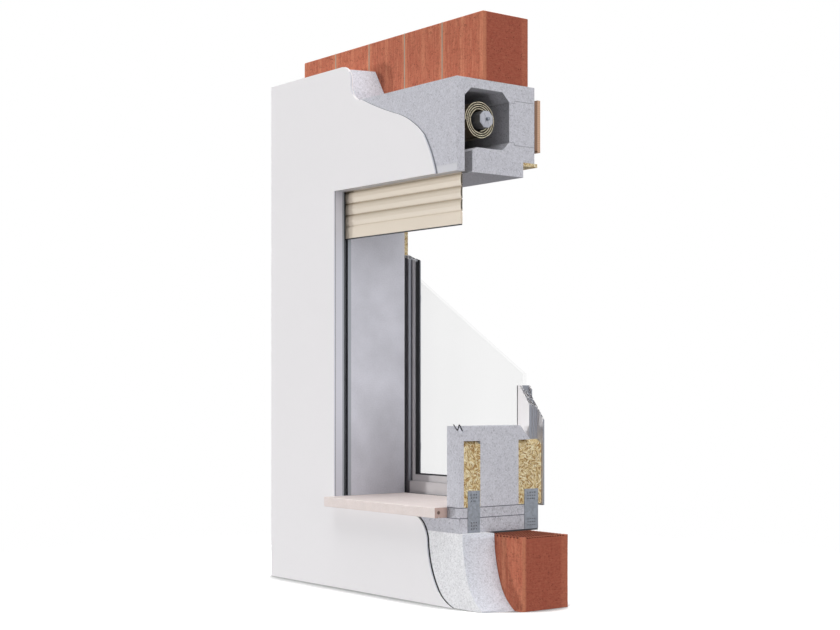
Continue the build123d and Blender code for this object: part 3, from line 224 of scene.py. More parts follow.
def add(tree, kind, settings=None, links=None):
    """Adds a node with its settings and links. Its operation, or a mix's data type, may follow its kind."""
    kind, _, mode = kind.partition(" ")
    node = tree.nodes.new("ShaderNode" + kind)
    if mode:
        setattr(node, "data_type" if kind == "Mix" else "operation", mode)
    return settle(node, settings, links)


def settle(node, settings=None, links=None):
    """Gives a node its settings, and links sockets, or other nodes' first outputs in use, to its inputs."""
    for key, value in (settings or {}).items():
        if key in ("From", "To"):
            node.inputs[key + " Min"].default_value, node.inputs[key + " Max"].default_value = value
        elif key == "stops":
            stops = node.color_ramp.elements
            stops[0].position, stops[0].color = value[0]
            stops[1].position, stops[1].color = value[-1]
            for place, tint in value[1:-1]:
                stops.new(place).color = tint
        elif isinstance(key, str) and hasattr(node, key):
            setattr(node, key, value)
        else:
            node.inputs[key].default_value = value
    for key, source in (links or {}).items():
        if hasattr(source, "outputs"):
            source = next(output for output in source.outputs if output.enabled)
        node.id_data.links.new(source, node.inputs[key])
    return node


def start(name):
    """A new material with its node tree, its shader and the Object coordinates to draw it by."""
    material = bpy.data.materials.new(name)
    material.use_nodes = True
    tree = material.node_tree
    tree.nodes.clear()
    shader = add(tree, "BsdfPrincipled")
    add(tree, "OutputMaterial", links={0: shader})
    return material, tree, shader, add(tree, "TexCoord").outputs["Object"]


def surface(shader, tint, height, depth, strength, settings, links=None):
    """Gives a shader its colour, a relief of some depth and strength, its settings and its other links."""
    bump = add(shader.id_data, "Bump", {"Strength": strength, "Distance": depth}, {"Height": height})
    settle(shader, settings, {"Base Color": tint, "Normal": bump} | (links or {}))


def position(tree):
    """A node whose outputs X, Y and Z are the place in metres."""
    return add(tree, "SeparateXYZ", links={0: add(tree, "TexCoord").outputs["Object"]})


def facing(tree, axis, limit=0.8):
    """A mask that is 1 where a face looks along the axis, and 0 elsewhere."""
    normal = add(tree, "SeparateXYZ", links={0: add(tree, "NewGeometry").outputs["Normal"]})
    return add(tree, "Math GREATER_THAN", {1: limit}, {0: normal.outputs[axis]})


def overlay(material, mask, tint, blend="MIX"):
    """Lays another tint over a material's colour where the mask is 1."""
    tree = material.node_tree
    shader = next(node for node in tree.nodes if node.type == "BSDF_PRINCIPLED")
    under = shader.inputs["Base Color"].links[0].from_socket
    mixed = add(tree, "Mix RGBA", {"blend_type": blend, 7: tint}, {0: mask, 6: under})
    settle(shader, links={"Base Color": mixed})


def within(tree, low, high):
    """A mask that is 1 inside the box between two corners, and 0 outside it."""
    at, inside = position(tree), None
    for axis, edges in zip("XYZ", zip(low, high)):
        for edge, way in zip(edges, ("GREATER_THAN", "LESS_THAN")):
            test = add(tree, f"Math {way}", {1: edge}, {0: at.outputs[axis]})
            inside = test if inside is None else add(tree, "Math MULTIPLY", None, {0: inside, 1: test})
    return inside


# Neutral tints by their share of white
GREY = {share: (share, share, share, 1) for share in (0, 0.12, 0.15, 0.25, 0.4, 0.6, 0.75, 1)}


def grained(name, tint, roughness, grain, depth, spread, metallic=0.0, patch=120, coat=0.0):
    """A material of one colour with its fine grain, its slow unevenness and a bump of the grain's depth.

    grain, depth and patch are the grain's size, the grain's depth and the size of the slow unevenness, all in
    millimetres. spread is how much lighter or darker the colour gets.
    """
    material, tree, shader, place = start(name)
    fine = add(tree, "TexNoise", {"Scale": 1 / (grain * MM), "Detail": 3.0, "Roughness": 0.6}, {0: place})
    slow = add(tree, "TexNoise", {"Scale": 1 / (patch * MM)}, {0: place})
    both = add(tree, "Math ADD", None, {0: fine, 1: slow})
    level = add(tree, "MapRange", {"From": (0.6, 1.4), "To": (1 - spread, 1 + spread / 2)}, {"Value": both})
    shade = add(tree, "VectorMath SCALE", {0: tint[:3]}, {"Scale": level})
    wear = add(tree, "MapRange", {"From": (0.3, 0.7), "To": (roughness * 0.88, min(1, roughness * 1.12))},
               {"Value": slow})
    surface(shader, shade, fine, depth * MM, 1.0, {"Metallic": metallic, "Coat Weight": coat}, {"Roughness": wear})
    return material


def fired_clay(s):
    """Clay pushed through a die and fired: dry, with smooth drawn bands and pitted panels between them."""
    material, tree, shader, place = start("Fired extruded clay")
    at = position(tree)
    normal = add(tree, "SeparateXYZ", links={0: add(tree, "NewGeometry").outputs["Normal"]})
    first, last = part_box("lintel_bricks")
    half = s.pitch / 2
    # Distance from the nearest end or middle of a brick, as a share of half a brick
    run = add(tree, "Math SUBTRACT", {1: first.x}, {0: at.outputs["X"]})
    fold = add(tree, "Math PINGPONG", {1: half}, {0: run})
    share = add(tree, "Math DIVIDE", {1: half}, {0: fold})
    low, high = s.edge_band / half, 1 - s.centre_band / half
    # A band begins just inside its edge and ends just outside it
    out, into = 0.06, 0.03
    bands = add(tree, "ValToRGB",
                {"stops": [(low - out, GREY[0.6]), (low + into, GREY[0]), (high - into, GREY[0]),
                           (high + out, GREY[0.4])]}, {0: share})
    # An end has one narrow band at the front and a broader one at the rear
    depth = add(tree, "MapRange", {"From": (first.y, last.y)}, {"Value": at.outputs["Y"]})
    end_bands = add(tree, "ValToRGB",
                    {"stops": [(0.05, GREY[0.75]), (0.09, GREY[0]), (0.83, GREY[0]), (0.87, GREY[0.25])]},
                    {0: depth})
    end = add(tree, "Math ABSOLUTE", None, {0: normal.outputs["X"]})
    end = add(tree, "Math GREATER_THAN", {1: 0.8}, {0: end})
    banded = add(tree, "Mix FLOAT", None, {0: end, 2: bands, 3: end_bands})
    # Streaks left by the die, drawn upright
    thin, tall = 1 / (7 * MM), 1 / (90 * MM)
    drawn = add(tree, "Mapping", {"Scale": (thin, thin, tall)}, {0: place})
    streak = add(tree, "TexNoise", {"Scale": 1.0, "Detail": 4.0, "Roughness": 0.65}, {0: drawn})
    # The wire that cut the bricks off left fine level rows on their ends
    broad, fine = 1 / (30 * MM), 1 / (5 * MM)
    wired = add(tree, "Mapping", {"Scale": (broad, broad, fine)}, {0: place})
    rows = add(tree, "TexNoise", {"Scale": 1.0, "Detail": 3.0, "Roughness": 0.6}, {0: wired})
    rows = add(tree, "MapRange", {"From": (0.3, 0.7), "To": (0.43, 0.5)}, {"Value": rows})
    streak = add(tree, "Mix FLOAT", None, {0: end, 2: streak, 3: rows})
    # Scorched clouds, coarse grains, and pits that come in patches, fewer on the drawn bands
    mottle = add(tree, "TexNoise", {"Scale": 1 / (3 * s.grain), "Detail": 4.0, "Roughness": 0.75}, {0: place})
    grain = add(tree, "TexNoise", {"Scale": 1 / s.grain, "Detail": 4.0, "Roughness": 0.7}, {0: place})
    cells = add(tree, "TexVoronoi", {"Scale": 1 / (2.6 * s.grain)}, {0: place})
    pits = add(tree, "MapRange", {"From": (0.14, 0.3), "To": (1, 0)}, {"Value": cells.outputs["Distance"]})
    patches = add(tree, "TexNoise", {"Scale": broad, "Detail": 3.0}, {0: place})
    patches = add(tree, "MapRange", {"From": (0.46, 0.58)}, {"Value": patches})
    pits = add(tree, "Math MULTIPLY", None, {0: pits, 1: patches})
    rough = add(tree, "Math MULTIPLY_ADD", {1: -0.7, 2: 1.0}, {0: banded})
    pits = add(tree, "Math MULTIPLY", {"use_clamp": True}, {0: pits, 1: rough})
    # The drawn bands are paler, and so are the streaks
    band_share, ground_level, contrast = 0.7, -1.1, 2.6
    blend = add(tree, "Math MULTIPLY_ADD", {1: band_share, 2: ground_level}, {0: banded})
    blend = add(tree, "Math MULTIPLY_ADD", {1: contrast, "use_clamp": True}, {0: streak, 2: blend})
    ground = add(tree, "Mix RGBA", {6: s.panel, 7: s.cut}, {0: end})
    body = add(tree, "Mix RGBA", {7: s.brick}, {0: blend, 6: ground})
    speck = add(tree, "MapRange", {"From": (0.5, 0.7), "To": (0, 0.7)}, {"Value": grain})
    cloud = add(tree, "MapRange", {"From": (0.5, 0.75), "To": (0, 0.85)}, {"Value": mottle})
    dark = add(tree, "Math MAXIMUM", None, {0: speck, 1: cloud})
    dark = add(tree, "Math MULTIPLY", None, {0: dark, 1: rough})
    dark = add(tree, "Math MAXIMUM", None, {0: dark, 1: pits})
    whole = add(tree, "Mix RGBA", {7: s.pit}, {0: dark, 6: body})
    # Painted shade: the open cells in the parapet's last brick are painted dark inside
    low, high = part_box("parapet_bricks")
    skin = 1.5 * MM
    inside = within(tree, (high.x - s.pitch + skin, low.y + skin, high.z - s.cell_depth),
                    (high.x - skin, high.y - skin, high.z - 0.6 * MM))
    whole = add(tree, "Mix RGBA", {7: s.cell_shade}, {0: inside, 6: whole})
    # The bands stand out a little from the panels
    height = add(tree, "Math SUBTRACT", None, {0: grain, 1: pits})
    height = add(tree, "Math MULTIPLY_ADD", {1: 1.2}, {0: banded, 2: height})
    surface(shader, whole, height, 1.0 * MM, 0.9, {"Roughness": 0.88, "Specular IOR Level": 0.3})
    return material


def bead_foam(name, tint, gap, bead, speck, relief):
    """Expanded polystyrene: round beads pressed together, each a little lighter or darker, with open gaps.

    speck is how much of the shade between beads shows, and relief how far the beads stand out.
    """
    material, tree, shader, place = start(name)
    edges = add(tree, "TexVoronoi", {"feature": "DISTANCE_TO_EDGE", "Scale": 1 / bead}, {0: place})
    cells = add(tree, "TexVoronoi", {"Scale": 1 / bead}, {0: place})
    luck = add(tree, "SeparateColor", links={0: cells.outputs["Color"]})
    slow = add(tree, "TexNoise", {"Scale": 1 / (22 * MM), "Detail": 3.0, "Roughness": 0.7}, {0: place})
    seam = add(tree, "MapRange", {"From": (0, 0.16), "To": (1, 0)}, {"Value": edges.outputs["Distance"]})
    chance = add(tree, "Math MULTIPLY", None, {0: luck, 1: slow})
    chance = add(tree, "MapRange", {"From": (0.3, 0.6)}, {"Value": chance})
    seam = add(tree, "Math MULTIPLY", None, {0: seam, 1: chance})
    seam = add(tree, "Math MULTIPLY", {1: speck}, {0: seam})
    holes = add(tree, "MapRange", {"From": (0.9, 0.94), "To": (0, speck * 0.5)}, {"Value": luck.outputs[1]})
    dark = add(tree, "Math ADD", {"use_clamp": True}, {0: seam, 1: holes})
    level = add(tree, "MapRange", {"To": (0.88, 1.08)}, {"Value": luck.outputs[2]})
    light = add(tree, "VectorMath SCALE", {0: tint[:3]}, {"Scale": level})
    whole = add(tree, "Mix RGBA", {7: gap}, {0: dark, 6: light})
    dome = add(tree, "MapRange", {"interpolation_type": "SMOOTHSTEP", "From": (0, 0.4)},
               {"Value": edges.outputs["Distance"]})
    height = add(tree, "Math SUBTRACT", None, {0: dome, 1: dark})
    surface(shader, whole, height, relief, 0.6, {"Roughness": 0.8, "Specular IOR Level": 0.35})
    return material


def strand_board(s):
    """Pressed strands of softwood: flat flakes turned every way, some fresh, some dark with resin."""
    material, tree, shader, place = start("Oriented strand board")
    size = s.strand_size
    # Patches of strands, each patch turned its own way
    wobble = add(tree, "TexNoise", {"Scale": 1 / (2 * size), "Detail": 1.0}, {0: place})
    shift = add(tree, "VectorMath MULTIPLY_ADD", {1: (size,) * 3}, {0: wobble.outputs["Color"], 2: place})
    patch = add(tree, "TexVoronoi", {"Scale": 1 / (1.5 * size)}, {0: shift})
    luck = add(tree, "SeparateColor", links={0: patch.outputs["Color"]})
    turn = add(tree, "Math MULTIPLY", {1: math.pi}, {0: luck})
    turned = add(tree, "VectorRotate", {"rotation_type": "X_AXIS"}, {"Vector": place, "Angle": turn})
    flat = add(tree, "Mapping", {"Scale": (1 / size, 1 / size, 1 / (0.22 * size))}, {0: turned})
    strands = add(tree, "TexVoronoi", {"Scale": 1.0}, {0: flat})
    each = add(tree, "SeparateColor", links={0: strands.outputs["Color"]})
    tone = add(tree, "ValToRGB",
               {"stops": [(0.0, s.dark), (0.2, s.dark), (0.34, s.strand), (0.7, s.strand), (0.9, s.pale),
                          (1.0, s.pale)]}, {0: each})
    # Fibres along each strand
    thin = add(tree, "Mapping", {"Scale": [1 / (run * MM) for run in (4, 30, 1.2)]}, {0: turned})
    fibre = add(tree, "TexNoise", {"Scale": 1.0}, {0: thin})
    level = add(tree, "MapRange", {"From": (0.3, 0.7), "To": (0.78, 1.08)}, {"Value": fibre})
    shade = add(tree, "VectorMath SCALE", None, {0: tone, "Scale": level})
    edge = add(tree, "MapRange", {"From": (0.35, 0.75), "To": (1, 0)}, {"Value": strands.outputs["Distance"]})
    height = add(tree, "Math ADD", None, {0: edge, 1: each.outputs[1]})
    surface(shader, shade, height, 1.0 * MM, 0.9, {"Roughness": 0.66})
    return material


def planed_softwood(s, name, board):
    """Planed softwood: long parallel growth lines along the board, satin where the plane cut them."""
    material, tree, shader, place = start(name)
    bent = add(tree, "Mapping", {"Scale": (0.12, 1, 1)}, {0: place})
    drift = add(tree, "TexNoise", {"Scale": 1 / (50 * MM)}, {0: bent})
    moved = add(tree, "VectorMath MULTIPLY_ADD", {1: (0, 16 * MM, 16 * MM)}, {0: drift.outputs["Color"], 2: bent})
    rings = add(tree, "TexWave",
                {"wave_type": "BANDS", "bands_direction": "Z", "Scale": 0.31 / s.grain, "Distortion": 0.6,
                 "Detail": 2.0}, {0: moved})
    fine = add(tree, "Mapping", {"Scale": [1 / (run * MM) for run in (50, 1.6, 1.6)]}, {0: place})
    fibre = add(tree, "TexNoise", {"Scale": 1.0, "Detail": 3.0}, {0: fine})
    mixed = add(tree, "Math MULTIPLY_ADD", {1: 0.35, 2: -0.1, "use_clamp": True}, {0: rings.outputs["Fac"]})
    tone = add(tree, "Mix RGBA", {6: board, 7: s.board_dark}, {0: mixed})
    level = add(tree, "MapRange", {"From": (0.3, 0.7), "To": (0.86, 1.06)}, {"Value": fibre})
    shade = add(tree, "VectorMath SCALE", None, {0: tone, "Scale": level})
    surface(shader, shade, fibre, 0.3 * MM, 0.6, {"Roughness": 0.55})
    return material


def galvanised_steel(s):
    """Steel dipped in zinc: cold grey with broad crystals that each shine a little differently."""
    material, tree, shader, place = start("Hot dipped galvanised steel")
    crystals = add(tree, "TexVoronoi", {"Scale": 1 / s.spangle}, {0: place})
    luck = add(tree, "SeparateColor", links={0: crystals.outputs["Color"]})
    level = add(tree, "MapRange", {"To": (0.82, 1.08)}, {"Value": luck})
    shade = add(tree, "VectorMath SCALE", {0: s.zinc[:3]}, {"Scale": level})
    rough = add(tree, "MapRange", {"To": (0.42, 0.62)}, {"Value": luck.outputs[1]})
    grain = add(tree, "TexNoise", {"Scale": 1 / (1.5 * MM)}, {0: place})
    surface(shader, shade, grain, 0.06 * MM, 0.5, {"Metallic": 0.8}, {"Roughness": rough})
    return material


def honed_stone(s):
    """Pale limestone, sawn and honed: a matt face with fine warm flecks and a few open pores."""
    material, tree, shader, place = start("Honed limestone")
    fine = add(tree, "TexNoise", {"Scale": 1 / (3 * MM), "Detail": 4.0, "Roughness": 0.7}, {0: place})
    slow = add(tree, "TexNoise", {"Scale": 1 / (40 * MM)}, {0: place})
    flecks = add(tree, "MapRange", {"From": (0.52, 0.72), "To": (0, 0.8)}, {"Value": fine})
    tone = add(tree, "Mix RGBA", {6: s.sill, 7: s.fleck}, {0: flecks})
    level = add(tree, "MapRange", {"From": (0.3, 0.7), "To": (0.97, 1.03)}, {"Value": slow})
    tone = add(tree, "Mix RGBA", {7: s.sawn}, {0: facing(tree, "X", 0.7), 6: tone})
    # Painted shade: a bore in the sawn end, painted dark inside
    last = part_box("stone_sill")[1]
    centre = (last.x, -213 * MM, last.z - 18 * MM)
    bore = add(tree, "VectorMath DISTANCE", {1: centre}, {0: place})
    bore = add(tree, "MapRange", {"From": (5 * MM, 8 * MM), "To": (1, 0)}, {"Value": bore.outputs["Value"]})
    tone = add(tree, "Mix RGBA", {7: s.bore}, {0: bore, 6: tone})
    shade = add(tree, "VectorMath SCALE", None, {0: tone, "Scale": level})
    surface(shader, shade, fine, 0.3 * MM, 0.5, {"Roughness": 0.75})
    return material


def baked_enamel(s, name, foot=None):
    """Cream enamel baked on roll formed aluminium: satin, with fine rolled ribs along the slat.

    foot is the height of a joint between two slats: painted shade lies in the joints, above each foot, and the
    sawn ends show the dark core. Without it the slats are wound up, and their faces but for their ends take a
    painted shade of each other.
    """
    material, tree, shader, place = start(name)
    peel = add(tree, "TexNoise", {"Scale": 1 / (2.5 * MM)}, {0: place})
    if foot is None:
        # A sawn end shows its outer wall as a pale rim beside the dark core: there the softened normal leans
        # away from the roller's axis
        soft = add(tree, "Bevel", {"samples": 8, "Radius": 5 * MM})
        own = add(tree, "VectorTransform",
                  {"vector_type": "NORMAL", "convert_from": "WORLD", "convert_to": "OBJECT"}, {0: soft})
        low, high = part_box("roller_tube")
        arm = add(tree, "VectorMath SUBTRACT", {1: (low + high) / 2}, {0: place})
        arm = add(tree, "VectorMath MULTIPLY", {1: (0, 1, 1)}, {0: arm})
        lean = add(tree, "VectorMath DOT_PRODUCT", None, {0: own, 1: arm})
        rim = add(tree, "MapRange", {"From": (-2 * MM, 2 * MM)}, {"Value": lean.outputs["Value"]})
        end = add(tree, "Mix RGBA", {6: s.core, 7: s.wound_end}, {0: rim})
        # Painted shade: the wound slats' faces, all but their sawn ends, take the dark tint of the next turn's
        # shade
        tone = add(tree, "Mix RGBA", {6: s.wound}, {0: facing(tree, "X"), 7: end})
        height = peel
    else:
        rise = add(tree, "Math SUBTRACT", {1: foot}, {0: position(tree).outputs["Z"]})
        share = add(tree, "Math DIVIDE", {1: s.slat_pitch}, {0: rise})
        share = add(tree, "Math FRACT", None, {0: share})
        # Painted shade: each slat darkens towards its top, in the joint under the slat above
        joint_shade = add(tree, "ValToRGB",
                   {"stops": [(0.0, GREY[0]), (0.45, GREY[0]), (0.62, GREY[0.12]), (0.84, GREY[0.4]),
                              (0.9, GREY[1]), (1.0, GREY[1])]}, {0: share})
        tone = add(tree, "Mix RGBA", {6: s.slat, 7: s.joint_shade}, {0: joint_shade})
        tone = add(tree, "Mix RGBA", {7: s.core}, {0: facing(tree, "X"), 6: tone})
        turns = add(tree, "Math MULTIPLY", {1: 6 * math.pi}, {0: share})
        ribs = add(tree, "Math SINE", None, {0: turns})
        height = add(tree, "Math MULTIPLY_ADD", {1: 0.15}, {0: peel, 2: ribs})
    surface(shader, tone, height, 0.35 * MM, 1.0, {"Roughness": 0.42})
    return material


def float_glass(s):
    """Float glass: clear with a trace of grey, and a faint reflection of the white room."""
    material, tree, shader, place = start("Clear float glass")
    slow = add(tree, "TexNoise", {"Scale": 1 / (300 * MM), "Detail": 0.0}, {0: place})
    level = add(tree, "MapRange", {"To": (0.97, 0.98)}, {"Value": slow})
    clear = add(tree, "BsdfTransparent", links={0: level})
    settle(shader, {"Base Color": s.glass, "Roughness": 0.05, "IOR": s.glass_index})
    both = add(tree, "MixShader", {0: s.glass_share}, {1: clear, 2: shader})
    settle(next(node for node in tree.nodes if node.type == "OUTPUT_MATERIAL"), links={0: both})
    return material


# Pieces

def dress(material, *names, rounding=0.0):
    """Gives CAD pieces their finish, and softens their sharp edges by the given rounding."""
    for name in names:
        piece = NODES[name]
        for place in piece.material_slots:
            place.material = material
        if rounding:
            weld = piece.modifiers.new("Joined faces", "WELD")
            weld.merge_threshold = 0.01 * MM
            bevel = piece.modifiers.new("Soft edges", "BEVEL")
            bevel.width = rounding
            bevel.segments = 2
            bevel.limit_method = "ANGLE"
            bevel.angle_limit = math.radians(40)
            bevel.harden_normals = True
            bevel.use_clamp_overlap = True


class SHUTTER_OT_masonry(bpy.types.Operator):
    """Fire the bricks and fill their joints"""
    bl_idname = "shutter.masonry"
    bl_label = "Bricks and mortar"

    def execute(self, context):
        s = context.scene.shutter_masonry
        clay = fired_clay(s)
        dress(clay, "lintel_bricks", "side_wall_bricks", rounding=s.rounding)
        dress(clay, "parapet_bricks", rounding=0.3 * s.rounding)
        # Cement mortar, struck flush: sandy and dull
        dress(grained("Cement mortar", s.mortar, 0.92, 1.5, 0.5, 0.2), "mortar_joints")
        return {"FINISHED"}


class SHUTTER_OT_facade_insulation(bpy.types.Operator):
    """Finish the insulation boards on the facade"""
    bl_idname = "shutter.facade_insulation"
    bl_label = "Facade insulation"

    def execute(self, context):
        s = context.scene.shutter_insulation
        foam = bead_foam("White expanded polystyrene", s.facade, s.gap, s.bead, 0.5, 0.5 * MM)
        # Painted shade: faces of the white foam that look along +X, the torn ones among them, are painted darker
        overlay(foam, facing(foam.node_tree, "X", 0.35), s.torn, "MULTIPLY")
        dress(foam, "side_insulation", "lintel_insulation", "parapet_insulation", rounding=s.rounding)
        return {"FINISHED"}


class SHUTTER_OT_render_coats(bpy.types.Operator):
    """Finish the base coat, the finish coat and the skins of the reveal"""
    bl_idname = "shutter.render_coats"
    bl_label = "Render coats"

    def execute(self, context):
        s = context.scene.shutter_facade
        # Floated lime plaster: almost smooth, with the slow unevenness of the float
        plaster = grained("Smooth floated plaster", s.finish, 0.85, 1.2, 0.12, 0.02, patch=300)
        dress(plaster, "finish_coat")
        # Painted shade: where it is turned into the reveal, and on all its faces that look along +X, the finish
        # coat is painted with the reveal's greyer tint
        overlay(plaster, facing(plaster.node_tree, "X"), s.reveal)
        # Cement adhesive pressed through its mesh: grey and coarse
        base = grained("Cement base render", s.base, 0.9, 2.0, 0.6, 0.25)
        # Above the box it is the finish coat's own white
        tree = base.node_tree
        up = position(tree).outputs["Z"]
        box_top, sill_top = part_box("shutter_box_shell")[1].z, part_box("stone_sill")[1].z
        overlay(base, add(tree, "Math GREATER_THAN", {1: box_top}, {0: up}), s.finish)
        # Under the sill the base coat is nearly black
        overlay(base, add(tree, "Math LESS_THAN", {1: sill_top}, {0: up}), s.mesh)
        dress(base, "base_coat")
        # Sprayed skin plaster: a fine even grit
        dress(grained("Gritted reveal plaster", s.reveal, 0.88, 4, 0.6, 0.2), "jamb_skins")
        return {"FINISHED"}


class SHUTTER_OT_sill(bpy.types.Operator):
    """Finish the stone sill and the membrane under it"""
    bl_idname = "shutter.sill"
    bl_label = "Sill"

    def execute(self, context):
        s = context.scene.shutter_facade
        dress(honed_stone(s), "stone_sill", rounding=0.6 * MM)
        # Bitumen sheet: soft black with fine sand on it
        dress(grained("Sanded bitumen sheet", s.membrane, 0.8, 1.2, 0.3, 0.3), "sill_membrane")
        return {"FINISHED"}


class SHUTTER_OT_box(bpy.types.Operator):
    """Finish the foam of the box, the jambs and the panel under the sill, and the edge profile"""
    bl_idname = "shutter.box"
    bl_label = "Shutter box"

    def execute(self, context):
        s = context.scene.shutter_insulation
        foam = bead_foam("Grey expanded polystyrene", s.box, s.gap, s.bead, 0.65, 0.6 * MM)
        # Painted shade: the chamber's foam is painted darker away from its cut end
        tree = foam.node_tree
        low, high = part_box("shutter_box_shell")
        end, wall, base = 8 * MM, 12 * MM, 60 * MM
        inside = within(tree, (low.x + end, low.y + wall, low.z + base),
                        (high.x - end, high.y - wall, high.z - wall))
        clean, dusty = high.x - 40 * MM, high.x - 260 * MM
        deep = add(tree, "MapRange", {"From": (clean, dusty), "To": (0, 0.9)},
                   {"Value": position(tree).outputs["X"]})
        deep = add(tree, "Math MULTIPLY", None, {0: inside, 1: deep})
        overlay(foam, deep, s.deep)
        dress(foam, "shutter_box_shell", "inspection_plug", "left_jamb_panel", "right_jamb_panel",
              rounding=s.rounding)
        # The panel under the sill is of a coarser foam, painted darker for the shade under the sill
        coarse = bead_foam("Grey expanded polystyrene, coarse", s.panel, s.gap, 1.2 * s.bead, 0.9, 0.8 * MM)
        dress(coarse, "subsill_blocks", rounding=s.rounding)
        dress(foam, "window_packer")
        profile = context.scene.shutter_facade.profile
        # Extruded vinyl: white, satin and even
        dress(grained("White extruded vinyl", profile, 0.4, 3, 0.03, 0.02), "front_edge_profile")
        return {"FINISHED"}


class SHUTTER_OT_timber(bpy.types.Operator):
    """Finish the boards of the box and the battens of the jambs"""
    bl_idname = "shutter.timber"
    bl_label = "Boards and battens"

    def execute(self, context):
        s = context.scene.shutter_timber
        dress(strand_board(s), "head_batten", "jamb_battens")
        dress(planed_softwood(s, "Planed softwood", s.board), "cover_board", "box_end_plate")
        # Painted shade: the cover's inner board takes the darker tint for the shadow it lies in
        dress(planed_softwood(s, "Planed softwood, dark", s.cover_frame_shade), "cover_frame")
        return {"FINISHED"}


class SHUTTER_OT_motor(bpy.types.Operator):
    """Finish the tubular motor, its drive wheel and the roller's rings"""
    bl_idname = "shutter.motor"
    bl_label = "Motor"

    def execute(self, context):
        s = context.scene.shutter_parts
        # Stove enamel on a steel tube: even and satin
        dress(grained("Satin stove enamel", s.motor, 0.35, 2, 0.03, 0.03, coat=0.2), "motor_body")
        # Glass filled polyamide: black with a fine mould texture
        dress(grained("Black moulded polyamide", s.dark_part, 0.5, 0.8, 0.05, 0.1), "motor_head", "motor_crown",
              "drive_wheel", "roller_rings")
        return {"FINISHED"}


class SHUTTER_OT_roller(bpy.types.Operator):
    """Finish the tube and its end cap"""
    bl_idname = "shutter.roller"
    bl_label = "Roller"

    def execute(self, context):
        s = context.scene.shutter_parts
        # Tube rolled from galvanised strip: dull grey metal
        dress(grained("Rolled galvanised tube", s.steel, 0.48, 1.5, 0.05, 0.12, metallic=0.8), "roller_tube")
        # Moulded polyamide cap, grey
        dress(grained("Grey moulded polyamide", s.cap, 0.5, 0.8, 0.05, 0.08), "tube_end_cap")
        return {"FINISHED"}


class SHUTTER_OT_curtain(bpy.types.Operator):
    """Finish the slats, the bottom bar, its seal and the window's gasket"""
    bl_idname = "shutter.curtain"
    bl_label = "Curtain"

    def execute(self, context):
        s = context.scene.shutter_parts
        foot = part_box("slat_1")[0].z
        dress(baked_enamel(s, "Baked cream enamel", foot), "box_slats", "slat_1", "slat_2", "slat_3")
        dress(baked_enamel(s, "Baked enamel, wound"), "wound_slats")
        # The bottom bar has the same enamel on a smooth extrusion
        dress(grained("Baked enamel, smooth", s.slat, 0.42, 2.5, 0.05, 0.03, patch=200), "bottom_bar")
        rubber = context.scene.shutter_window.rubber
        # Extruded weather seal: black and slightly dusty
        dress(grained("Extruded black rubber", rubber, 0.7, 1.0, 0.05, 0.2), "bottom_bar_seal", "glazing_gasket")
        return {"FINISHED"}


class SHUTTER_OT_guides(bpy.types.Operator):
    """Finish the guides and their brushes"""
    bl_idname = "shutter.guides"
    bl_label = "Guides"

    def execute(self, context):
        s = context.scene.shutter_parts
        # Powder coat on extruded aluminium: even grey with a fine grit
        coat = grained("Grey powder coat", s.guide, 0.5, 0.8, 0.06, 0.05)
        # A black sealing lip lies along the front of the slot
        tree = coat.node_tree
        middle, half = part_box("guide_brushes")[0].y - 3 * MM, 3.5 * MM
        lip = add(tree, "Math COMPARE", {1: middle, 2: half}, {0: position(tree).outputs["Y"]})
        lip = add(tree, "Math MULTIPLY", None, {0: lip, 1: facing(tree, "X")})
        overlay(coat, lip, s.brush)
        dress(coat, "left_guide", "right_guide")
        # Polypropylene pile: black, swallows light
        dress(grained("Polypropylene pile", s.brush, 0.95, 0.6, 0.6, 0.4), "guide_brushes")
        return {"FINISHED"}


class SHUTTER_OT_fixings(bpy.types.Operator):
    """Finish the straps, the screws, the bracket, the hinges and the pin"""
    bl_idname = "shutter.fixings"
    bl_label = "Fixings"

    def execute(self, context):
        dress(galvanised_steel(context.scene.shutter_parts), "anchor_straps", "strap_screws", "motor_bracket",
              "bracket_screws", "roller_pin", "hinge_frame_halves", "hinge_sash_halves", "hinge_pins")
        return {"FINISHED"}


def thin_block(name, material, low, high, soft):
    """A thin block between two corners, its edges softened by a bevel."""
    bpy.ops.object.select_all(action="DESELECT")
    low, high = Vector(low), Vector(high)
    bpy.ops.mesh.primitive_cube_add(size=1, location=(low + high) / 2)
    piece = new_piece(name, material)
    bpy.ops.transform.resize(value=high - low)
    bpy.ops.object.transform_apply(location=True, rotation=True, scale=True)
    bpy.ops.object.mode_set(mode="EDIT")
    bpy.ops.mesh.select_all(action="SELECT")
    bpy.ops.mesh.bevel(offset=soft, segments=1)
    bpy.ops.object.mode_set(mode="OBJECT")
    return piece


def new_piece(name, material):
    """Gives the piece that was just made its name and its material."""
    piece = bpy.context.object
    piece.name = piece.data.name = name
    piece.data.materials.append(material)
    return piece


class SHUTTER_OT_strap_backing(bpy.types.Operator):
    """Lay dark sheets behind the straps as painted shade, which shows through their holes"""
    bl_idname = "shutter.strap_backing"
    bl_label = "Strap backing"

    def execute(self, context):
        s = context.scene.shutter_facade
        # Painted shade: dark sheets stand for the shade in the straps' holes
        paper = grained("Bitumen paper", s.membrane, 0.85, 1.0, 0.2, 0.2)
        low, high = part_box("anchor_straps")
        inset, sheet, soft = 1.0 * MM, 0.5 * MM, 0.1 * MM
        for side, x in (("left", low.x + STRAP_SHEET - sheet), ("right", high.x - STRAP_SHEET)):
            for place, width, head in HOLE_SHADE_SHEETS:
                edge = low.y if place == "front" else high.y - width
                piece = thin_block(f"strap_backing_{side}_{place}", paper, (x, edge + inset, low.z + inset),
                                   (x + sheet, edge + width - inset, head - inset), soft)
                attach(piece, "wall")
        return {"FINISHED"}


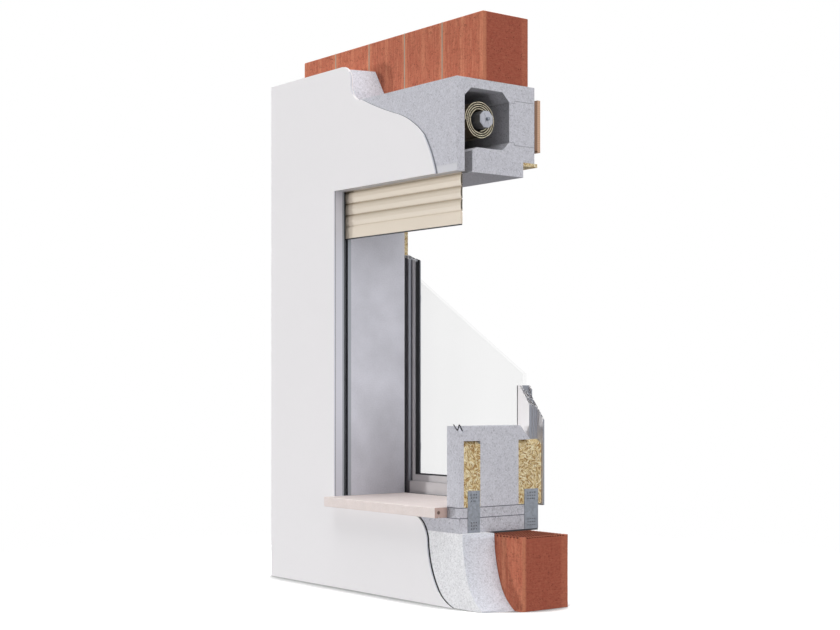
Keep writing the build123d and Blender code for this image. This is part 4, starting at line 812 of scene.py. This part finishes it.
class SHUTTER_OT_stub_seams(bpy.types.Operator):
    """Fill the two glued seams across the foam at the right of the sill"""
    bl_idname = "shutter.stub_seams"
    bl_label = "Stub seams"

    def execute(self, context):
        s = context.scene.shutter_insulation
        glue = grained("Foam adhesive", s.seam, 0.7, 1.5, 0.2, 0.2)
        low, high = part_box("right_jamb_panel")
        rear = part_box("subsill_blocks")[1].y
        proud, half, inset, soft = 0.4 * MM, 1.4 * MM, 1.0 * MM, 0.2 * MM
        for name, z, back in (("upper", low.z, high.y), ("lower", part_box("stone_sill")[0].z, rear)):
            piece = thin_block(f"stub_seam_{name}", glue, (low.x + inset, low.y - proud, z - half),
                               (high.x + proud, back - inset, z + half), soft)
            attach(piece, "wall")
        return {"FINISHED"}


class SHUTTER_OT_wire_end(bpy.types.Operator):
    """Bend the end of wire that stands out of the stub's chipped corner, dark to stand also for the shade in the
    notch there
    """
    bl_idname = "shutter.wire_end"
    bl_label = "Wire end"

    def execute(self, context):
        # Painted shade: the dark wire stands also for the shade in the notch
        dark_wire_and_shade = grained("Blackened wire", context.scene.shutter_insulation.wire, 0.6, 1.0, 0.1, 0.2)
        low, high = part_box("right_jamb_panel")
        corner = Vector((high.x, low.y - WIRE_RADIUS, high.z))
        points = [corner + Vector(point) * MM for point in WIRE_CORNERS]
        bpy.ops.object.select_all(action="DESELECT")
        bpy.ops.mesh.primitive_circle_add(vertices=8, radius=WIRE_RADIUS, fill_type="NGON", location=points[0])
        piece = new_piece("bent_wire_end", dark_wire_and_shade)
        bpy.ops.object.mode_set(mode="EDIT")
        bpy.ops.mesh.select_all(action="SELECT")
        for here, there in zip(points, points[1:]):
            bpy.ops.mesh.extrude_region_move(TRANSFORM_OT_translate={"value": there - here})
        bpy.ops.mesh.select_all(action="SELECT")
        bpy.ops.mesh.normals_make_consistent(inside=False)
        bpy.ops.object.mode_set(mode="OBJECT")
        bpy.ops.object.transform_apply(location=True, rotation=True, scale=True)
        bpy.ops.object.shade_smooth_by_angle(angle=math.radians(50))
        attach(piece, "wall")
        return {"FINISHED"}


class SHUTTER_OT_window(bpy.types.Operator):
    """Finish the frame, the sash, the sealing tape and the spacer"""
    bl_idname = "shutter.window"
    bl_label = "Window frame and sash"

    def execute(self, context):
        s = context.scene.shutter_window
        # Extruded vinyl profile: pale grey, satin and even, with painted shade on its flanks
        vinyl = grained("Grey extruded vinyl", s.plastic, 0.38, 3, 0.03, 0.03)
        tree = vinyl.node_tree
        # Painted shade: faces that look along +X are painted darker
        overlay(vinyl, facing(tree, "X"), s.flank_shade)
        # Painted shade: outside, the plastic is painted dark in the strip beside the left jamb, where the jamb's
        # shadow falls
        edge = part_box("sash_left_stile")[1].x - 19 * MM
        strip = add(tree, "Math LESS_THAN", {1: edge}, {0: position(tree).outputs["X"]})
        outside = add(tree, "Math SUBTRACT", {0: 1.0}, {1: facing(tree, "Y", -0.5)})
        strip = add(tree, "Math MULTIPLY", None, {0: strip, 1: outside})
        overlay(vinyl, strip, s.shade)
        # Painted shade: dark cells of the profile are painted where it is cut on a slope, for the shade in its
        # hollow chambers
        place = add(tree, "TexCoord").outputs["Object"]
        cells = add(tree, "TexVoronoi", {"feature": "DISTANCE_TO_EDGE", "Scale": 1 / s.cell}, {0: place})
        cells = add(tree, "Math GREATER_THAN", {1: 0.1}, {0: cells.outputs["Distance"]})
        cut = add(tree, "Math SUBTRACT", None, {0: facing(tree, "Z", 0.25), 1: facing(tree, "Z", 0.97)})
        cut = add(tree, "Math MULTIPLY", None, {0: cells, 1: cut})
        overlay(vinyl, cut, s.hollow)
        dress(vinyl, "frame_left_stile", "frame_right_stile", "frame_bottom_rail", "sash_left_stile",
              "sash_right_stile", "sash_bottom_rail")
        # Mill finished aluminium strip
        dress(grained("Mill finished aluminium", s.spacer, 0.4, 1.0, 0.03, 0.06, metallic=0.9), "glazing_spacer")
        tape = context.scene.shutter_insulation.tape
        # Open celled foam soaked in resin: dark grey and very rough
        dress(grained("Impregnated sealing foam", tape, 0.95, 1.2, 0.8, 0.3), "sealing_tape")
        return {"FINISHED"}


class SHUTTER_OT_glazing(bpy.types.Operator):
    """Finish the two panes"""
    bl_idname = "shutter.glazing"
    bl_label = "Panes"

    def execute(self, context):
        dress(float_glass(context.scene.shutter_window), "outer_pane", "inner_pane")
        return {"FINISHED"}


class SHUTTER_OT_gasket_lip(bpy.types.Operator):
    """Press the gasket's soft lip against the glass along the left stile, broad enough to stand also for the
    gasket's shadow there
    """
    bl_idname = "shutter.gasket_lip"
    bl_label = "Gasket lip"

    def execute(self, context):
        gasket, pane, sash = (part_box(name) for name in ("glazing_gasket", "outer_pane", "sash_left_stile"))
        rebate, breadth, below, soft = 6 * MM, 16 * MM, 10 * MM, 0.4 * MM
        proud, clear = 1.5 * MM, 0.2 * MM
        inner, glass = gasket[0].x + rebate, pane[0].y
        rubber = bpy.data.materials["Extruded black rubber"]
        # Painted shade: the black lip is made broad to stand also for the gasket's shadow beside the left stile
        piece = thin_block("gasket_lip", rubber, (inner, glass - proud, gasket[0].z + rebate),
                           (inner + breadth, glass - clear, sash[1].z - below), soft)
        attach(piece, "sash")
        return {"FINISHED"}


class SHUTTER_OT_stage(bpy.types.Operator):
    """Set up the floor, the light and the camera"""
    bl_idname = "shutter.stage"
    bl_label = "Stage"

    def execute(self, context):
        s = context.scene.shutter_stage
        scene = context.scene
        scene.view_settings.view_transform = "Standard"
        world = bpy.data.worlds.new("White room")
        scene.world = world
        world.use_nodes = True
        tree = world.node_tree
        tree.nodes.clear()
        path = add(tree, "LightPath")
        seen = add(tree, "Math ADD", None, {0: path.outputs["Is Camera Ray"], 1: path.outputs["Is Glossy Ray"]})
        seen = add(tree, "Math ADD", {"use_clamp": True}, {0: seen, 1: path.outputs["Is Transmission Ray"]})
        sky = add(tree, "Background", {"Color": (1, 1, 1, 1), "Strength": s.ambient})
        white = add(tree, "Background", {"Color": (1, 1, 1, 1), "Strength": 1.0})
        both = add(tree, "MixShader", links={0: seen, 1: sky, 2: white})
        add(tree, "OutputWorld", links={0: both})

        bpy.ops.object.select_all(action="DESELECT")
        for key, way, breadth in LAMPS:
            way = Vector(way).normalized()
            bpy.ops.object.light_add(type="SUN", location=-LAMP_DISTANCE * way)
            lamp = context.object
            lamp.name = f"{key.capitalize()} light"
            lamp.rotation_euler = way.to_track_quat("-Z", "Y").to_euler()
            lamp.data.energy = getattr(s, key)
            lamp.data.angle = math.radians(breadth)

        bpy.ops.mesh.primitive_circle_add(vertices=96, radius=s.reach, fill_type="NGON")
        floor = context.object
        floor.name = "Floor"
        floor.data.materials.append(paper_floor(s))
        # The side and the under lamp shine up from below the floor's level, so the floor throws no shadow
        floor.visible_shadow = False

        bpy.ops.object.camera_add(location=CAMERA_PLACE, rotation=CAMERA_TURN)
        camera = context.object
        camera.name = "Camera"
        camera.data.lens = s.focal
        camera.data.sensor_width = SENSOR_WIDTH
        camera.data.shift_x, camera.data.shift_y = CAMERA_SHIFT
        camera.data.clip_end = 100
        scene.camera = camera
        return {"FINISHED"}


def paper_floor(s):
    """White paper: dull and even, it keeps the sample's shadow, adds a painted contact shadow near the sample, and
    fades into the white room.
    """
    material = bpy.data.materials.new("White paper")
    material.use_nodes = True
    tree = material.node_tree
    tree.nodes.clear()
    place = add(tree, "TexCoord").outputs["Object"]
    away = add(tree, "VectorMath LENGTH", None, {0: place})
    gone = add(tree, "MapRange", {"interpolation_type": "SMOOTHSTEP", "From": (0.35 * s.reach, 0.95 * s.reach)},
               {"Value": away.outputs["Value"]})
    path = add(tree, "LightPath")
    # The paper throws back part of the light, and seen by the camera it is lifted to white
    # Painted shadow: seen by the camera, the paper is darkened by ambient occlusion near the sample
    near = add(tree, "AmbientOcclusion", {"Distance": 0.24})
    contact = add(tree, "MapRange", {"From": (0.5, 0.8), "To": (0.1, 1)}, {"Value": near.outputs["AO"]})
    seen = add(tree, "Math MULTIPLY", None, {0: path.outputs["Is Camera Ray"], 1: contact})
    tone = add(tree, "Mix RGBA", {6: GREY[0.15], 7: s.floor}, {0: seen})
    paper = add(tree, "BsdfDiffuse", links={"Color": tone})
    lift = add(tree, "Math MULTIPLY", {1: 0.5}, {0: seen})
    glow = add(tree, "Emission", {"Color": s.floor}, {"Strength": lift})
    lit = add(tree, "AddShader", links={0: paper, 1: glow})
    clear = add(tree, "BsdfTransparent")
    whole = add(tree, "MixShader", links={0: gone, 1: lit, 2: clear})
    add(tree, "OutputMaterial", links={0: whole})
    return material


class SHUTTER_PT_panel(bpy.types.Panel):
    """Lists the operators and the settings of the sample"""
    bl_idname = "SHUTTER_PT_panel"
    bl_label = "Roller shutter sample"
    bl_space_type = "VIEW_3D"
    bl_region_type = "UI"
    bl_category = "Shutter"

    def draw(self, context):
        for operator in OPERATORS:
            self.layout.operator(operator.bl_idname)
        for name, group in SETTINGS.items():
            box = self.layout.box()
            box.label(text=group.__doc__)
            for key in group.__annotations__:
                box.prop(getattr(context.scene, name), key)


OPERATORS = (
    SHUTTER_OT_masonry, SHUTTER_OT_facade_insulation, SHUTTER_OT_render_coats, SHUTTER_OT_sill,
    SHUTTER_OT_box, SHUTTER_OT_timber, SHUTTER_OT_motor, SHUTTER_OT_roller, SHUTTER_OT_curtain,
    SHUTTER_OT_guides, SHUTTER_OT_fixings, SHUTTER_OT_strap_backing, SHUTTER_OT_stub_seams,
    SHUTTER_OT_wire_end, SHUTTER_OT_window, SHUTTER_OT_glazing, SHUTTER_OT_gasket_lip, SHUTTER_OT_stage,
)


def register():
    """Registers the settings, the operators and the panel."""
    for name, group in SETTINGS.items():
        bpy.utils.register_class(group)
        setattr(bpy.types.Scene, name, PointerProperty(type=group))
    for item in OPERATORS + (SHUTTER_PT_panel,):
        bpy.utils.register_class(item)


def unregister():
    """Removes what register added."""
    for item in (SHUTTER_PT_panel,) + OPERATORS[::-1]:
        bpy.utils.unregister_class(item)
    for name, group in reversed(SETTINGS.items()):
        delattr(bpy.types.Scene, name)
        bpy.utils.unregister_class(group)


def main():
    """Dresses the whole sample."""
    register()
    for operator in OPERATORS:
        getattr(bpy.ops.shutter, operator.bl_idname.partition(".")[2])()


if __name__ == "__main__":
    main()
